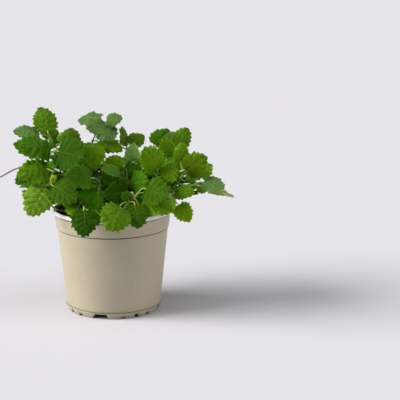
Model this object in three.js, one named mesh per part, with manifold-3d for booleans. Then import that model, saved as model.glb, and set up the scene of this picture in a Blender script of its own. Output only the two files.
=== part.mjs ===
// A potted lemon balm: a plastic grow pot full of peat, with leafy stems rooted in it.
// Millimetres, +Z up. The origin is at the middle of the pot's foot, on the surface that it stands on.
// -Y is the front, and +X is to the right of someone who looks at the front.

import * as THREE from 'three';
import { mergeVertices } from 'three/addons/utils/BufferGeometryUtils.js';
import Module from 'manifold-3d';

const wasm = await Module();
wasm.setup();

// ---------------------------------------------------------------- sizes

const POT_HEIGHT = 111;
const RIM_RADIUS = 65;
const WALL = 1.4;
const WALL_FOOT_RADIUS = 50.4; // the tapering wall, carried down to the floor
const WALL_SLOPE = 0.104; // how far the wall leans out for each millimetre of height
const COLLAR_Z = 90.7; // the line under the collar band
const COLLAR_STEP = 0.9; // how far the collar stands out from the wall
const LIP_DROP = 3.8; // height of the flared lip
const LIP_FLARE = 2.4; // how far the lip stands out from the collar
const FOOT_Z = 6.9; // the fine line above the foot
const FOOT_RADIUS = 49.4;
const FOOT_THICKNESS = 1.9;
const BASE_Z = 5.3; // underside of the raised floor
const BASE_THICKNESS = 1.5;
const POT_SIDES = 36;

const LARGE_NOTCH = { bottom: 18.5, top: 11.5, height: 4.7 };
const FIRST_NOTCH = 12.7; // degrees left of the front
const SMALL_NOTCHES = [
  { after: 28, width: 6, height: 2.1 },
  { after: 45, width: 5.6, height: 3.1 },
  { after: 62, width: 5.6, height: 1.8 },
];
const DRAIN_HOLES = 6;
const DRAIN_RADIUS = 4;
const DRAIN_RING = 30;

const SOIL_EDGE_Z = 104.5;
const SOIL_CROWN = 2; // how much higher the soil is in the middle
const SOIL_WAVE = 0.7;
const SOIL_SIDES = 24;
const GAP = 0.35; // between pieces that touch

const STEM_WIDTH = 2.1;
const TWIG_WIDTH = 1.5;
const PETIOLE_WIDTH = 1.4;
const PETIOLE_STEPS = 2;
const PETIOLE_LEAD = 3; // it meets the blade along the midrib over this length
const LAST_NODE = 0.985; // of a stem's length: its last leaves grow from just under its tip
const ROOT_HEIGHTS = [-9, -1, 4]; // a stem rises straight through these, measured from the soil's edge
const HOLE_RADIUS = 2.4;

const BLADE = 0.8; // thickness
const OVATE_BASE = 0.42; // the blade's half width is t^base (1 - t)^tip, with t from stalk to tip
const OVATE_TIP = 0.7;
const LOBE = 0.2; // how far the heart-shaped base reaches back
const TOOTH = 0.075;
const ARCH = 0.07; // rise of the midrib, as a share of its length
const DROOP = 0.12; // how far the margins hang below the midrib, as a share of the half width
const WAVE = 0.035;
const LEAF_ASPECT = 1.22; // a blade is this many times as long as it is wide
// Sampled points of leaves that don't touch are this far apart, plus a share of the leaf's length.
const CLEARANCE = { least: 1, share: 0.045 };
const LARGE_LEAF = { above: 15, teeth: 5, ribs: 3 }; // width above this; teeth a side; steps along the midrib
const SMALL_LEAF = { teeth: 3, ribs: 2 };

// ---------------------------------------------------------------- layout

// A leaf or stem point is [across, up, away]: across and up are where it is seen on the upright plane
// through the pot's axis by an eye in front of the pot, and away is how far behind that plane it lies.
const EYE = new THREE.Vector3(94.4, -1300, 404);

// name, root on the soil [x, y], the points that the stem passes, and its leaves:
// [which point, where the blade starts, where its tip is, width, turn].
// A blade faces the eye at turn 0, and looks up at turn 90.
const STEMS = [
  ['stem_left_top', [-16, 12], [[-34, 135, 18], [-52, 165, 20], [-66, 187, 18]], [
    [2, [-68, 194, 14], [-74, 219.5, 24], 26, 12],
    [2, [-77, 191, 12], [-105, 193, 2], 22, 50],
    [2, [-68, 184, 24], [-57, 194, 38], 24, 10],
    [1.2, [-47, 176, 24], [-41, 197, 34], 24, 5],
    [1.6, [-54, 182, 16], [-51, 193, 12], 10, 0],
  ]],
  ['stem_left_mid', [-24, -8], [[-42, 130, -8], [-54, 155, -12], [-61, 170, -14]], [
    [2, [-65, 172, -15], [-105, 179, -26], 31, 38],
    [2, [-57, 172, -18], [-28, 164, -46], 38, 5],
    [2, [-62, 175, -13], [-66, 183, -8], 8, 20],
  ]],
  ['stem_left_low', [-38, -16], [[-52, 118, -26], [-66, 136, -33], [-62, 151, -32]], [
    [2, [-68, 151, -33], [-102, 147, -46], 29, 22],
    [1, [-72, 133, -36], [-91, 101, -56], 31, 5],
    [1, [-63, 134, -40], [-38, 117, -58], 29, 8],
    [1, [-64, 139, -36], [-60, 146, -40], 7, 0],
    [2, [-88, 150, -18], [-104, 136, -24], 15, 30],
  ]],
  ['stem_tall_centre', [-6, -4], [[-16, 140, -6], [-21, 168, -10], [-20, 183, -10], [-10, 203, -4]], [
    [2, [-21, 181, -16], [-20, 151, -38], 28, 0],
    [2, [-13, 182, -12], [12, 173, -18], 20, 30],
    [3, [-13, 206, -2], [-34, 207, 8], 23, 52],
    [3, [-7, 202, -8], [-26, 195, -26], 24, 28],
    [3, [-5, 204, -8], [12, 208, -18], 15, 20],
    [2.6, [-10, 197, -10], [3, 184, -28], 24, 8],
  ]],
  ['stem_centre_left', [-14, -22], [[-14, 120, -32], [-13, 138, -38]], [
    [1, [-23, 143, -50], [-50, 146, -64], 26, 20],
    [0.6, [-23, 132, -30], [-21, 104, -38], 28, 5],
    [1, [-11, 144, -34], [8, 144, -28], 17, 10],
  ]],
  ['stem_front_left', [-28, -34], [[-31, 109, -52]], [
    [0, [-31, 107, -70], [-31, 77.5, -84], 27, 0],
    [0, [-25, 105, -58], [-15, 91, -64], 17, 5],
    [0, [-38, 106, -56], [-51, 110, -54], 13, 20],
  ]],
  ['stem_front_centre', [5, -34], [[12, 109, -48], [18, 116, -54]], [
    [1, [8, 111, -68], [-5, 84, -84], 32, 0],
    [1, [24, 113, -61], [28, 87, -75], 24, 0],
    [1, [17, 119, -54], [11, 127, -56], 10, 10],
  ]],
  ['stem_front_right', [20, -27], [[21, 116, -42], [28, 127, -52]], [
    [1, [36, 131, -56], [61, 122, -74], 31, 5],
    [0.4, [31, 113, -56], [66, 107, -64], 20, 20],
    [0.6, [15, 127, -50], [-9, 124, -56], 25, 10],
    [0.2, [24, 121, -44], [31, 106, -50], 15, 0],
  ]],
  ['stem_centre', [8, -10], [[14, 124, -20], [17, 137, -26]], [
    [1, [8, 149, -34], [-12, 154, -44], 15, 32],
    [1, [21, 137, -26], [39, 141, -34], 24, 10],
    [1, [14, 150, -22], [33, 153, -24], 17, 10],
    [1, [12, 158, -14], [-7, 163, -20], 15, 5],
  ]],
  ['stem_right_centre', [10, 14], [[12, 140, 16], [14, 165, 16], [16, 175, 15]], [
    [2, [13, 178, 14], [12, 199, 20], 19, 62],
    [2, [19, 180, 14], [35, 189, 24], 18, 15],
    [1.5, [22, 161, 2], [23, 181, -8], 16, 0],
  ]],
  ['stem_right_mid', [30, -8], [[40, 125, -14], [49, 147, -20]], [
    [1, [50, 153, -24], [34, 176, -42], 28, 8],
    [1, [57, 159, -20], [66, 138, -34], 22, 0],
  ]],
  ['stem_right_top', [26, 18], [[42, 140, 20], [54, 163, 20], [60, 175, 18]], [
    [2, [46, 179, 16], [62, 195, 26], 22, 8],
    [2, [60, 181, 22], [68, 193, 28], 13, 0],
    [2, [69, 177, 12], [82, 197, 22], 21, 5],
    [1.2, [61, 165, 6], [57, 187, -4], 19, 0],
  ]],
  ['stem_right_outer', [36, 4], [[57, 124, 2], [68, 134, -2], [77, 148, -4]], [
    [2, [80, 150, -8], [101, 167, -24], 27, 5],
    [2, [74, 161, -2], [76, 182, -10], 16, 0],
    [2, [76, 152, 8], [72, 167, 14], 14, 0],
    [1.5, [80, 141, 4], [92, 146, 8], 11, 0],
  ]],
  ['stem_right_low', [43, -8], [[60, 121, -12], [76, 132, -13], [90, 136, -14]], [
    [2, [98, 138, -16], [121, 132.5, -28], 20, 35],
    [2, [94, 145, -6], [107, 158, -12], 17, 0],
    [2, [92, 134, -8], [103, 129, -6], 12, 0],
    [2, [104, 129, -10], [131, 122, -20], 16, 66],
  ]],
  ['stem_right_rim', [38, -24], [[52, 116, -30], [64, 124, -28]], [
    [1, [68, 127, -28], [89, 127, -38], 17, 25],
    [1, [71, 113, -24], [84, 95, -34], 20, 0],
    [0.6, [61, 121, -36], [62, 104, -42], 14, 0],
  ]],
];

// The dry twig is a stem with no leaves.
const TWIG = ['dry_twig', [-36, 12], [[-60, 150, 6], [-86, 156, 0], [-103, 150, -2], [-131, 137, -4]], []];

// Stems that fill the middle and the back: where each roots, and how high it reaches.
const FILL_STEMS = [
  [-47, 0, 146], [-38, 26, 150], [-18, 44, 152], [8, 47, 154], [30, 38, 152], [47, 16, 146],
  [-14, 26, 158], [-2, 8, 152], [30, -26, 126], [-46, -20, 124], [48, -10, 128], [18, 2, 142],
];
const FILL_LEAN = 1.5; // how much farther from the axis its tip is than its root
const FILL_NODES = [0.05, 0.35, 0.7, 1]; // where its leaf pairs are, numbered as on the other stems
const LOW_NODES = [0.1, 0.7, 1.3]; // where the other stems have pairs of leaves that hardly show
const RULE_TRIES = 80;
const RULE_LEAF = [18, 42]; // length range
const RULE_WIDTH = 0.8; // of its length
const RULE_STALK = [5, 16]; // length range
const STALK_REACH = 24;
const RULE_RISE = 0.35; // how much the stalk rises for its length
const RULE_SWING = [0.6, 2.2]; // how far the headings spread, in radians, at the first try and at the last
const RULE_DIP = [-0.3, 0.9]; // how far the blade points down, in radians
const SEED = 23;

// The crown as seen from the front: at each distance across, the lowest and the highest that leaves
// placed by rule reach.
const CROWN = [
  [-104, 132, 140], [-90, 108, 150], [-70, 102, 165], [-40, 100, 180], [-25, 100, 168],
  [-8, 100, 158], [8, 100, 158], [25, 100, 170], [38, 100, 168], [55, 100, 178],
  [68, 112, 174], [84, 122, 158], [102, 126, 134],
];
const GOLDEN_ANGLE = 2.4; // from one stem's first pair to the next stem's
const BACK_REACH = 94; // the back leaves stay within this of the axis
const FRONT_LIMIT = -25; // leaves placed by rule stay behind this, or behind leaves that hide them
const HIDDEN_SHARE = 0.9; // of a leaf's sampled points, when it counts as hidden
const COVER_CELL = 3; // of the grid on which the view from the front is kept
const BEHIND_POT = { from: 58, across: 55, low: 80, high: 110 }; // where leaves may hang behind the pot

// ---------------------------------------------------------------- solids

function solid(geometry) {
  const bare = geometry.clone();
  bare.deleteAttribute('normal');
  bare.deleteAttribute('uv');
  const merged = mergeVertices(bare, 1e-4);
  const vertProperties = new Float32Array(merged.attributes.position.array);
  const triVerts = new Uint32Array(merged.index.array);
  return new wasm.Manifold(new wasm.Mesh({ numProp: 3, vertProperties, triVerts }));
}

function geometryOf(body) {
  const mesh = body.getMesh();
  const geometry = new THREE.BufferGeometry();
  geometry.setAttribute('position', new THREE.BufferAttribute(new Float32Array(mesh.vertProperties), 3));
  geometry.setIndex(new THREE.BufferAttribute(new Uint32Array(mesh.triVerts), 1));
  geometry.computeVertexNormals();
  return geometry;
}

function seeded(seed) {
  let state = seed;
  return () => {
    state = (state * 16807) % 2147483647;
    return state / 2147483647;
  };
}

// ---------------------------------------------------------------- pot and soil

function wallRadius(z) {
  return WALL_FOOT_RADIUS + WALL_SLOPE * z;
}

function lathe(profile, sides) {
  const geometry = new THREE.LatheGeometry(profile.map(([r, z]) => new THREE.Vector2(r, z)), sides);
  return geometry.rotateX(Math.PI / 2);
}

function notch(width, top, height, degreesLeft) {
  const shape = new THREE.Shape();
  shape.moveTo(-width / 2, -1);
  shape.lineTo(width / 2, -1);
  shape.lineTo(width / 2, 0);
  shape.lineTo(top / 2, height);
  shape.lineTo(-top / 2, height);
  shape.lineTo(-width / 2, 0);
  const cutter = new THREE.ExtrudeGeometry(shape, { depth: 12, bevelEnabled: false });
  cutter.rotateX(Math.PI / 2); // the shape now stands up and its depth runs to the front
  cutter.translate(0, -(FOOT_RADIUS - 8), 0);
  cutter.rotateZ(-THREE.MathUtils.degToRad(degreesLeft));
  return solid(cutter);
}

function pot() {
  const lip = POT_HEIGHT - LIP_DROP;
  const profile = [
    [0, BASE_Z],
    [FOOT_RADIUS - FOOT_THICKNESS + 0.6, BASE_Z],
    [FOOT_RADIUS - FOOT_THICKNESS, 0],
    [FOOT_RADIUS, 0],
    [wallRadius(FOOT_Z) + 0.8, FOOT_Z - 0.4],
    [wallRadius(FOOT_Z) + 0.8, FOOT_Z + 0.2],
    [wallRadius(FOOT_Z) + 0.1, FOOT_Z + 0.8],
    [wallRadius(COLLAR_Z), COLLAR_Z],
    [wallRadius(COLLAR_Z) + COLLAR_STEP, COLLAR_Z + 0.4],
    [RIM_RADIUS - LIP_FLARE, lip - 0.5],
    [RIM_RADIUS - 0.3, lip + 0.2],
    [RIM_RADIUS, lip + 1.2],
    [RIM_RADIUS - 1.6, POT_HEIGHT - 0.3],
    [RIM_RADIUS - 2.4, POT_HEIGHT],
    [RIM_RADIUS - 3.1, POT_HEIGHT - 1.2],
    [innerRadius(COLLAR_Z + 3), COLLAR_Z + 3],
    [innerRadius(COLLAR_Z - 2), COLLAR_Z - 2],
    [innerRadius(BASE_Z + BASE_THICKNESS + 2), BASE_Z + BASE_THICKNESS + 2],
    [innerRadius(BASE_Z + BASE_THICKNESS) - 1, BASE_Z + BASE_THICKNESS],
    [0, BASE_Z + BASE_THICKNESS],
  ];
  let body = solid(lathe(profile, POT_SIDES));
  for (let quarter = 0; quarter < 4; quarter += 1) {
    const at = FIRST_NOTCH + 90 * quarter;
    body = body.subtract(notch(LARGE_NOTCH.bottom, LARGE_NOTCH.top, LARGE_NOTCH.height, at));
    for (const { after, width, height } of SMALL_NOTCHES) {
      body = body.subtract(notch(width, width * 0.7, height, at + after));
    }
  }
  for (let i = 0; i < DRAIN_HOLES; i += 1) {
    const angle = (i / DRAIN_HOLES) * 2 * Math.PI;
    const hole = new THREE.CylinderGeometry(DRAIN_RADIUS, DRAIN_RADIUS, 6, 8);
    hole.rotateX(Math.PI / 2);
    hole.translate(DRAIN_RING * Math.cos(angle), DRAIN_RING * Math.sin(angle), BASE_Z + 1);
    body = body.subtract(solid(hole));
  }
  return geometryOf(body);
}

function innerRadius(z) {
  const collar = Math.max(0, z - COLLAR_Z) * 0.035;
  return wallRadius(z) - WALL + collar;
}

function soilHeight(radius, angle) {
  const crown = SOIL_CROWN * (1 - (radius / wallRadius(SOIL_EDGE_Z)) ** 2);
  const wave = SOIL_WAVE * Math.sin(3 * angle + 0.12 * radius) * Math.min(1, radius / 20);
  return SOIL_EDGE_Z + crown + wave;
}

function soil(roots) {
  const floor = BASE_Z + BASE_THICKNESS + GAP;
  const radii = [0, 22, 44];
  const edge = innerRadius(SOIL_EDGE_Z) - 0.2 - GAP;
  const profile = [
    [0, floor],
    [innerRadius(floor) - 1.2 - GAP, floor],
    [innerRadius(floor + 3) - GAP - 0.3, floor + 3],
    [innerRadius(COLLAR_Z - 2) - GAP - 0.3, COLLAR_Z - 2],
    [edge, SOIL_EDGE_Z],
    ...radii.toReversed().map((r) => [r, SOIL_EDGE_Z + 1]),
  ];
  const geometry = lathe(profile, SOIL_SIDES);
  const position = geometry.attributes.position;
  for (let i = 0; i < position.count; i += 1) {
    const radius = Math.hypot(position.getX(i), position.getY(i));
    const angle = Math.atan2(position.getY(i), position.getX(i));
    if (position.getZ(i) > SOIL_EDGE_Z + 0.5) {
      position.setZ(i, radius < 0.01 ? SOIL_EDGE_Z + SOIL_CROWN : soilHeight(radius, angle));
    }
  }
  let body = solid(geometry);
  for (const [x, y] of roots) {
    const hole = new THREE.CylinderGeometry(HOLE_RADIUS, HOLE_RADIUS, 24, 6);
    hole.rotateX(Math.PI / 2);
    hole.translate(x, y, SOIL_EDGE_Z + ROOT_HEIGHTS[0] - GAP + 12);
    body = body.subtract(solid(hole));
  }
  return geometryOf(body);
}

// ---------------------------------------------------------------- stems and leaves

function place([across, up, away]) {
  const share = (away - EYE.y) / -EYE.y;
  const x = EYE.x + (across - EYE.x) * share;
  const z = EYE.z + (up - EYE.z) * share;
  return new THREE.Vector3(x, away, z);
}

function seen(point) {
  const share = -EYE.y / (point.y - EYE.y);
  return [EYE.x + (point.x - EYE.x) * share, EYE.z + (point.z - EYE.z) * share];
}

function insideCrown(point) {
  const [across, up] = seen(point);
  if (point.y > BEHIND_POT.from && Math.abs(across) < BEHIND_POT.across && up < BEHIND_POT.high) {
    return up > BEHIND_POT.low;
  }
  for (let i = 1; i < CROWN.length; i += 1) {
    const [a0, low0, high0] = CROWN[i - 1];
    const [a1, low1, high1] = CROWN[i];
    if (across >= a0 && across < a1) {
      const share = (across - a0) / (a1 - a0);
      return up > low0 + (low1 - low0) * share && up < high0 + (high1 - high0) * share;
    }
  }
  return false;
}

function stemCurve([x, y], points) {
  const start = ROOT_HEIGHTS.map((height) => new THREE.Vector3(x, y, SOIL_EDGE_Z + height));
  return new THREE.CatmullRomCurve3([...start, ...points]);
}

// The point of a stem that is numbered from its first point above the soil; 1.5 is between two points.
function stemPoint(curve, node) {
  const at = (node + ROOT_HEIGHTS.length) / (curve.points.length - 1);
  return curve.getPoint(Math.min(at, LAST_NODE));
}

// A leaf's frame: origin at the stalk, along the midrib, across it and out of the upper face.
function leafFrame(base, tip, width, toward, turn) {
  const along = tip.clone().sub(base);
  const length = along.length();
  along.normalize();
  const side = along.clone().cross(toward).normalize();
  const out = side.clone().cross(along);
  const angle = THREE.MathUtils.degToRad(side.z >= 0 ? turn : -turn);
  const face = out.clone().multiplyScalar(Math.cos(angle)).addScaledVector(side, Math.sin(angle));
  const cross = side.clone().multiplyScalar(Math.cos(angle)).addScaledVector(out, -Math.sin(angle));
  return { base, length, width, along, cross, face };
}

function halfWidth(t) {
  const widest = OVATE_BASE / (OVATE_BASE + OVATE_TIP);
  const most = widest ** OVATE_BASE * (1 - widest) ** OVATE_TIP;
  return (0.5 * t ** OVATE_BASE * (1 - t) ** OVATE_TIP) / most;
}

// A point of the blade: t runs from stalk to tip, s from -1 to 1 across, and teeth push s past 1.
function bladePoint(leaf, t, s) {
  const back = t < 0.5 ? LOBE * s * s * 16 * t * (1 - t) * (1 - 2 * t) ** 2 * leaf.width * 0.5 : 0;
  const across = s * halfWidth(t) * leaf.width;
  const arch = ARCH * leaf.length * 4 * t * (1 - t);
  const droop = DROOP * Math.abs(across);
  const wave = WAVE * leaf.width * s * s * Math.sin(9 * t + 2 * s);
  return leaf.base.clone()
    .addScaledVector(leaf.along, t * leaf.length - back)
    .addScaledVector(leaf.cross, across)
    .addScaledVector(leaf.face, arch - droop + wave);
}

// A leaf as one closed solid. On both faces, a strip on each side of the midrib runs out to the toothed
// margin, and the two margins start at a neck, from which the leaf stalk runs back into the stem as a
// four-sided tube.
function leafSolid(leaf, stalk, teeth, ribs) {
  const steps = 2 * teeth;
  const neck = leaf.cross.clone().multiplyScalar(PETIOLE_WIDTH / 2);
  const outline = [];
  for (let i = 1; i <= ribs; i += 1) {
    outline.push(bladePoint(leaf, i / ribs, 0));
  }
  const tip = ribs - 1;
  const rows = [1, -1].map((side) => {
    const row = [outline.length];
    outline.push(leaf.base.clone().addScaledVector(neck, side));
    for (let j = 1; j < steps; j += 1) {
      const t = (1 - Math.cos((Math.PI * j) / steps)) / 2;
      const tooth = j % 2 ? 1 + TOOTH : 1 - TOOTH;
      row.push(outline.length);
      outline.push(bladePoint(leaf, t, side * tooth));
    }
    row.push(tip);
    return row;
  });
  const count = outline.length;
  const vertices = [];
  for (const lift of [BLADE / 2, -BLADE / 2]) {
    for (const point of outline) {
      vertices.push(point.clone().addScaledVector(leaf.face, lift));
    }
  }
  const index = [];
  const twoFaces = (a, b, c, flip) => {
    const [p, q] = flip ? [c, b] : [b, c];
    index.push(a, p, q, count + a, count + q, count + p);
  };
  twoFaces(rows[0][0], 0, rows[1][0], false);
  rows.forEach((row, side) => {
    let rib = 0;
    for (let j = 0; j < steps; j += 1) {
      if (row[j + 1] !== rib) {
        twoFaces(rib, row[j], row[j + 1], side === 1);
      }
      const next = Math.min(tip, Math.round(((j + 1) * ribs) / steps));
      if (next > rib && row[j + 1] !== next) {
        twoFaces(rib, row[j + 1], next, side === 1);
        rib = next;
      }
      const [a, b] = side === 0 ? [row[j], row[j + 1]] : [row[j + 1], row[j]];
      index.push(a, count + b, b, a, count + a, count + b);
    }
  });
  stalkTube(leaf, stalk, [rows[0][0], rows[1][0], count + rows[1][0], count + rows[0][0]], vertices, index);
  const geometry = new THREE.BufferGeometry();
  const numbers = vertices.flatMap((v) => v.toArray());
  geometry.setAttribute('position', new THREE.Float32BufferAttribute(numbers, 3));
  geometry.setIndex(index);
  return geometry;
}

// The stalk's rings are carried back along its curve from the neck without twisting.
function stalkTube(leaf, stalk, neckRing, vertices, index) {
  let across = leaf.cross.clone();
  let ring = neckRing;
  for (let i = PETIOLE_STEPS - 1; i >= 0; i -= 1) {
    const at = i / PETIOLE_STEPS;
    const centre = stalk.getPoint(at);
    const direction = stalk.getTangent(at);
    across = across.addScaledVector(direction, -across.dot(direction)).normalize();
    const up = across.clone().cross(direction).multiplyScalar(PETIOLE_WIDTH * 0.45);
    const wide = across.clone().multiplyScalar(PETIOLE_WIDTH / 2);
    const next = [];
    for (const [w, u] of [[1, 1], [-1, 1], [-1, -1], [1, -1]]) {
      next.push(vertices.length);
      vertices.push(centre.clone().addScaledVector(wide, w).addScaledVector(up, u));
    }
    for (let k = 0; k < 4; k += 1) {
      const m = (k + 1) % 4;
      index.push(ring[k], ring[m], next[m], ring[k], next[m], next[k]);
    }
    ring = next;
  }
  index.push(ring[0], ring[1], ring[2], ring[0], ring[2], ring[3]);
}

function polygon(radius, sides) {
  const shape = new THREE.Shape();
  for (let i = 0; i < sides; i += 1) {
    const angle = (2 * Math.PI * i) / sides;
    const x = radius * Math.cos(angle);
    const y = radius * Math.sin(angle);
    if (i === 0) {
      shape.moveTo(x, y);
    } else {
      shape.lineTo(x, y);
    }
  }
  return shape;
}

function tube(curve, radius, sides, steps) {
  const path = { steps, extrudePath: curve, bevelEnabled: false };
  return new THREE.ExtrudeGeometry(polygon(radius, sides), path);
}

// The stalk leaves the stem, arches up, and comes into line with the blade's midrib.
function petioleCurve(start, leaf) {
  const lead = leaf.base.clone().addScaledVector(leaf.along, -PETIOLE_LEAD);
  const middle = start.clone().lerp(lead, 0.5);
  middle.z += 0.1 * start.distanceTo(lead);
  return new THREE.CatmullRomCurve3([start, middle, lead, leaf.base]);
}

// ---------------------------------------------------------------- clearance

function evenly(from, to, steps) {
  return Array.from({ length: steps + 1 }, (_, i) => from + ((to - from) * i) / steps);
}

function leafSamples(leaf) {
  return evenly(0, 1, 12).flatMap((t) => evenly(-1, 1, 8).map((s) => bladePoint(leaf, t, s)));
}

function curveSamples(curve, steps) {
  return evenly(0, 1, steps).map((t) => curve.getPoint(t));
}

// True when no sampled point of the leaf or its stalk comes near a piece that it doesn't grow from.
function isClear(stem, leaf, stalk, taken) {
  const bladePoints = leafSamples(leaf);
  const reach = leaf.length * 0.6 + leaf.width * 0.4 + STALK_REACH;
  const apart = CLEARANCE.least + CLEARANCE.share * leaf.length;
  const centre = bladePoint(leaf, 0.5, 0);
  const stalkPoints = curveSamples(stalk, 5).slice(0, 5);
  for (const other of taken) {
    if (other.centre.distanceTo(centre) > reach + other.reach) {
      continue;
    }
    const sameStem = other.stem === stem;
    if (sameStem && other.kind !== 'blade') {
      continue;
    }
    const own = sameStem ? bladePoints : [...bladePoints, ...stalkPoints];
    const nearest = sameStem ? apart * 0.6 : apart;
    for (const p of own) {
      for (const q of other.points) {
        if (p.distanceToSquared(q) < nearest * nearest) {
          return false;
        }
      }
    }
  }
  return true;
}

function insidePot(points) {
  return points.some((p) => Math.hypot(p.x, p.y) < RIM_RADIUS + 2 && p.z < soilLimit(p));
}

function soilLimit(p) {
  return Math.hypot(p.x, p.y) > RIM_RADIUS - 6 ? POT_HEIGHT + 1 : SOIL_EDGE_Z + SOIL_CROWN + 1;
}

// ---------------------------------------------------------------- growth

function growStem(name, root, points) {
  const curve = stemCurve(root, points);
  return { name, root, curve, leaves: [] };
}

function takeStem(stem, taken) {
  const points = curveSamples(stem.curve, 90).filter((p) => p.z > SOIL_EDGE_Z);
  const centre = stem.curve.getPoint(0.6);
  const reach = Math.max(...points.map((p) => p.distanceTo(centre)));
  taken.push({ stem: stem.name, kind: 'stem', points, centre, reach });
}

function takeLeaf(stem, leaf, stalk, shown, taken) {
  const centre = bladePoint(leaf, 0.5, 0);
  const reach = leaf.length * 0.5 + leaf.width * 0.3;
  taken.push({ stem: stem.name, kind: 'blade', points: leafSamples(leaf), centre, reach });
  const points = curveSamples(stalk, 5).slice(0, 5);
  taken.push({ stem: stem.name, kind: 'stalk', points, centre: points[2], reach: STALK_REACH });
  stem.leaves.push({ leaf, stalk, shown });
}

// A blade keeps its length: what of it isn't seen from the front runs in depth, the way that its tip leans.
function tipDepth(base, tip, width) {
  const shown = Math.hypot(tip[0] - base[0], tip[1] - base[1]);
  const hidden = Math.sqrt(Math.max(0, (LEAF_ASPECT * width) ** 2 - shown ** 2));
  const given = tip[2] - base[2];
  return base[2] + Math.sign(given) * Math.max(Math.abs(given), hidden);
}

// A leaf that would touch another is moved away from the eye or towards it until it is clear,
// so that it is still seen in the same place.
const SHIFTS = [0, 3, -3, 6, -6, 9, -9, 12, -12, 15, -15, 18, -18, 22, -22, 26, -26];

function growShownLeaf(stem, [node, base, tip, width, turn], taken) {
  const start = stemPoint(stem.curve, node);
  const depth = tipDepth(base, tip, width);
  for (const shift of SHIFTS) {
    const from = place([base[0], base[1], base[2] + shift]);
    const to = place([tip[0], tip[1], depth + shift]);
    const leaf = leafFrame(from, to, width, EYE.clone().sub(from), turn);
    const stalk = petioleCurve(start, leaf);
    if (!insidePot(leafSamples(leaf)) && isClear(stem.name, leaf, stalk, taken)) {
      takeLeaf(stem, leaf, stalk, true, taken);
      return;
    }
  }
}

function between([low, high], share) {
  return low + (high - low) * share;
}

// A leaf that points to the heading: each try draws it anew, and later tries are smaller and turn farther.
function growRuleLeaf(stem, node, heading, random, taken, cover) {
  const start = stemPoint(stem.curve, node);
  for (let i = 0; i < RULE_TRIES; i += 1) {
    const late = i / RULE_TRIES;
    const length = between(RULE_LEAF, 1 - late * random());
    const azimuth = heading + between(RULE_SWING, late) * (random() - 0.5);
    const dip = between(RULE_DIP, random());
    const stalkLength = between(RULE_STALK, random());
    const out = new THREE.Vector3(Math.cos(azimuth), Math.sin(azimuth), 0);
    const base = start.clone().addScaledVector(out, stalkLength);
    base.z += stalkLength * RULE_RISE;
    const tip = base.clone().addScaledVector(out, length * Math.cos(dip));
    tip.z -= length * Math.sin(dip);
    const toward = out.clone().multiplyScalar(0.5);
    toward.z = 1;
    const leaf = leafFrame(base, tip, length * RULE_WIDTH, toward, 0);
    const stalk = petioleCurve(start, leaf);
    const samples = leafSamples(leaf);
    const within = samples.every((p) => insideCrown(p) && p.y < BACK_REACH);
    const behind = samples.every((p) => p.y > FRONT_LIMIT) || isHidden(samples, cover);
    if (within && behind && !insidePot(samples) && isClear(stem.name, leaf, stalk, taken)) {
      takeLeaf(stem, leaf, stalk, false, taken);
      return;
    }
  }
}

function cellOf(point) {
  return seen(point).map((value) => Math.floor(value / COVER_CELL)).join();
}

// For each cell of the view from the front, the depth of the nearest blade.
function coverOf(stems) {
  const cover = new Map();
  for (const { leaf } of stems.flatMap((stem) => stem.leaves)) {
    for (const t of evenly(0, 1, 24)) {
      for (const s of evenly(-1, 1, 16)) {
        const point = bladePoint(leaf, t, s);
        const cell = cellOf(point);
        cover.set(cell, Math.min(point.y, cover.get(cell) ?? Infinity));
      }
    }
  }
  return cover;
}

function isHidden(points, cover) {
  const behind = points.filter((p) => (cover.get(cellOf(p)) ?? Infinity) < p.y);
  return behind.length > HIDDEN_SHARE * points.length;
}

// Each pair of leaves stands crosswise to the one below it.
function growPairs(stem, turn, nodes, random, taken, cover) {
  nodes.forEach((node, pair) => {
    const heading = turn + (pair * Math.PI) / 2;
    growRuleLeaf(stem, node, heading, random, taken, cover);
    growRuleLeaf(stem, node, heading + Math.PI, random, taken, cover);
  });
}

function fillStem(index, [x, y, top]) {
  const middle = (1 + FILL_LEAN) / 2;
  const points = [
    new THREE.Vector3(x * middle, y * middle, (top + SOIL_EDGE_Z) / 2),
    new THREE.Vector3(x * FILL_LEAN, y * FILL_LEAN, top),
  ];
  return growStem(`stem_fill_${index + 1}`, [x, y], points);
}

function grow() {
  const taken = [];
  const shown = STEMS.map(([name, root, points]) => growStem(name, root, points.map(place)));
  const twig = growStem(TWIG[0], TWIG[1], TWIG[2].map(place));
  const fill = FILL_STEMS.map((row, index) => fillStem(index, row));
  for (const stem of [...shown, twig, ...fill]) {
    takeStem(stem, taken);
  }
  STEMS.forEach(([, , , rows], i) => {
    for (const row of rows) {
      growShownLeaf(shown[i], row, taken);
    }
  });
  const cover = coverOf(shown);
  const random = seeded(SEED);
  fill.forEach((stem, i) => growPairs(stem, i * GOLDEN_ANGLE, FILL_NODES, random, taken, cover));
  shown.forEach((stem, i) => growPairs(stem, i * GOLDEN_ANGLE, LOW_NODES, random, taken, cover));
  return { shown, twig, fill };
}

function stemSolid(stem, width) {
  const steps = Math.round(1.5 * (stem.curve.points.length - 1));
  let body = solid(tube(stem.curve, width / Math.SQRT2, 4, steps));
  for (const { leaf, stalk, shown } of stem.leaves) {
    const { teeth, ribs } = shown && leaf.width > LARGE_LEAF.above ? LARGE_LEAF : SMALL_LEAF;
    body = body.add(solid(leafSolid(leaf, stalk, teeth, ribs)));
  }
  return geometryOf(body);
}

// ---------------------------------------------------------------- the object

const plastic = new THREE.MeshStandardMaterial({ color: 0xb8b09a, roughness: 0.5, metalness: 0 });
const peat = new THREE.MeshStandardMaterial({ color: 0x2a1c14, roughness: 1, metalness: 0 });
const green = new THREE.MeshStandardMaterial({ color: 0x4a7a18, roughness: 0.6, metalness: 0 });
const dry = new THREE.MeshStandardMaterial({ color: 0x7a6a40, roughness: 0.8, metalness: 0 });

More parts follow.
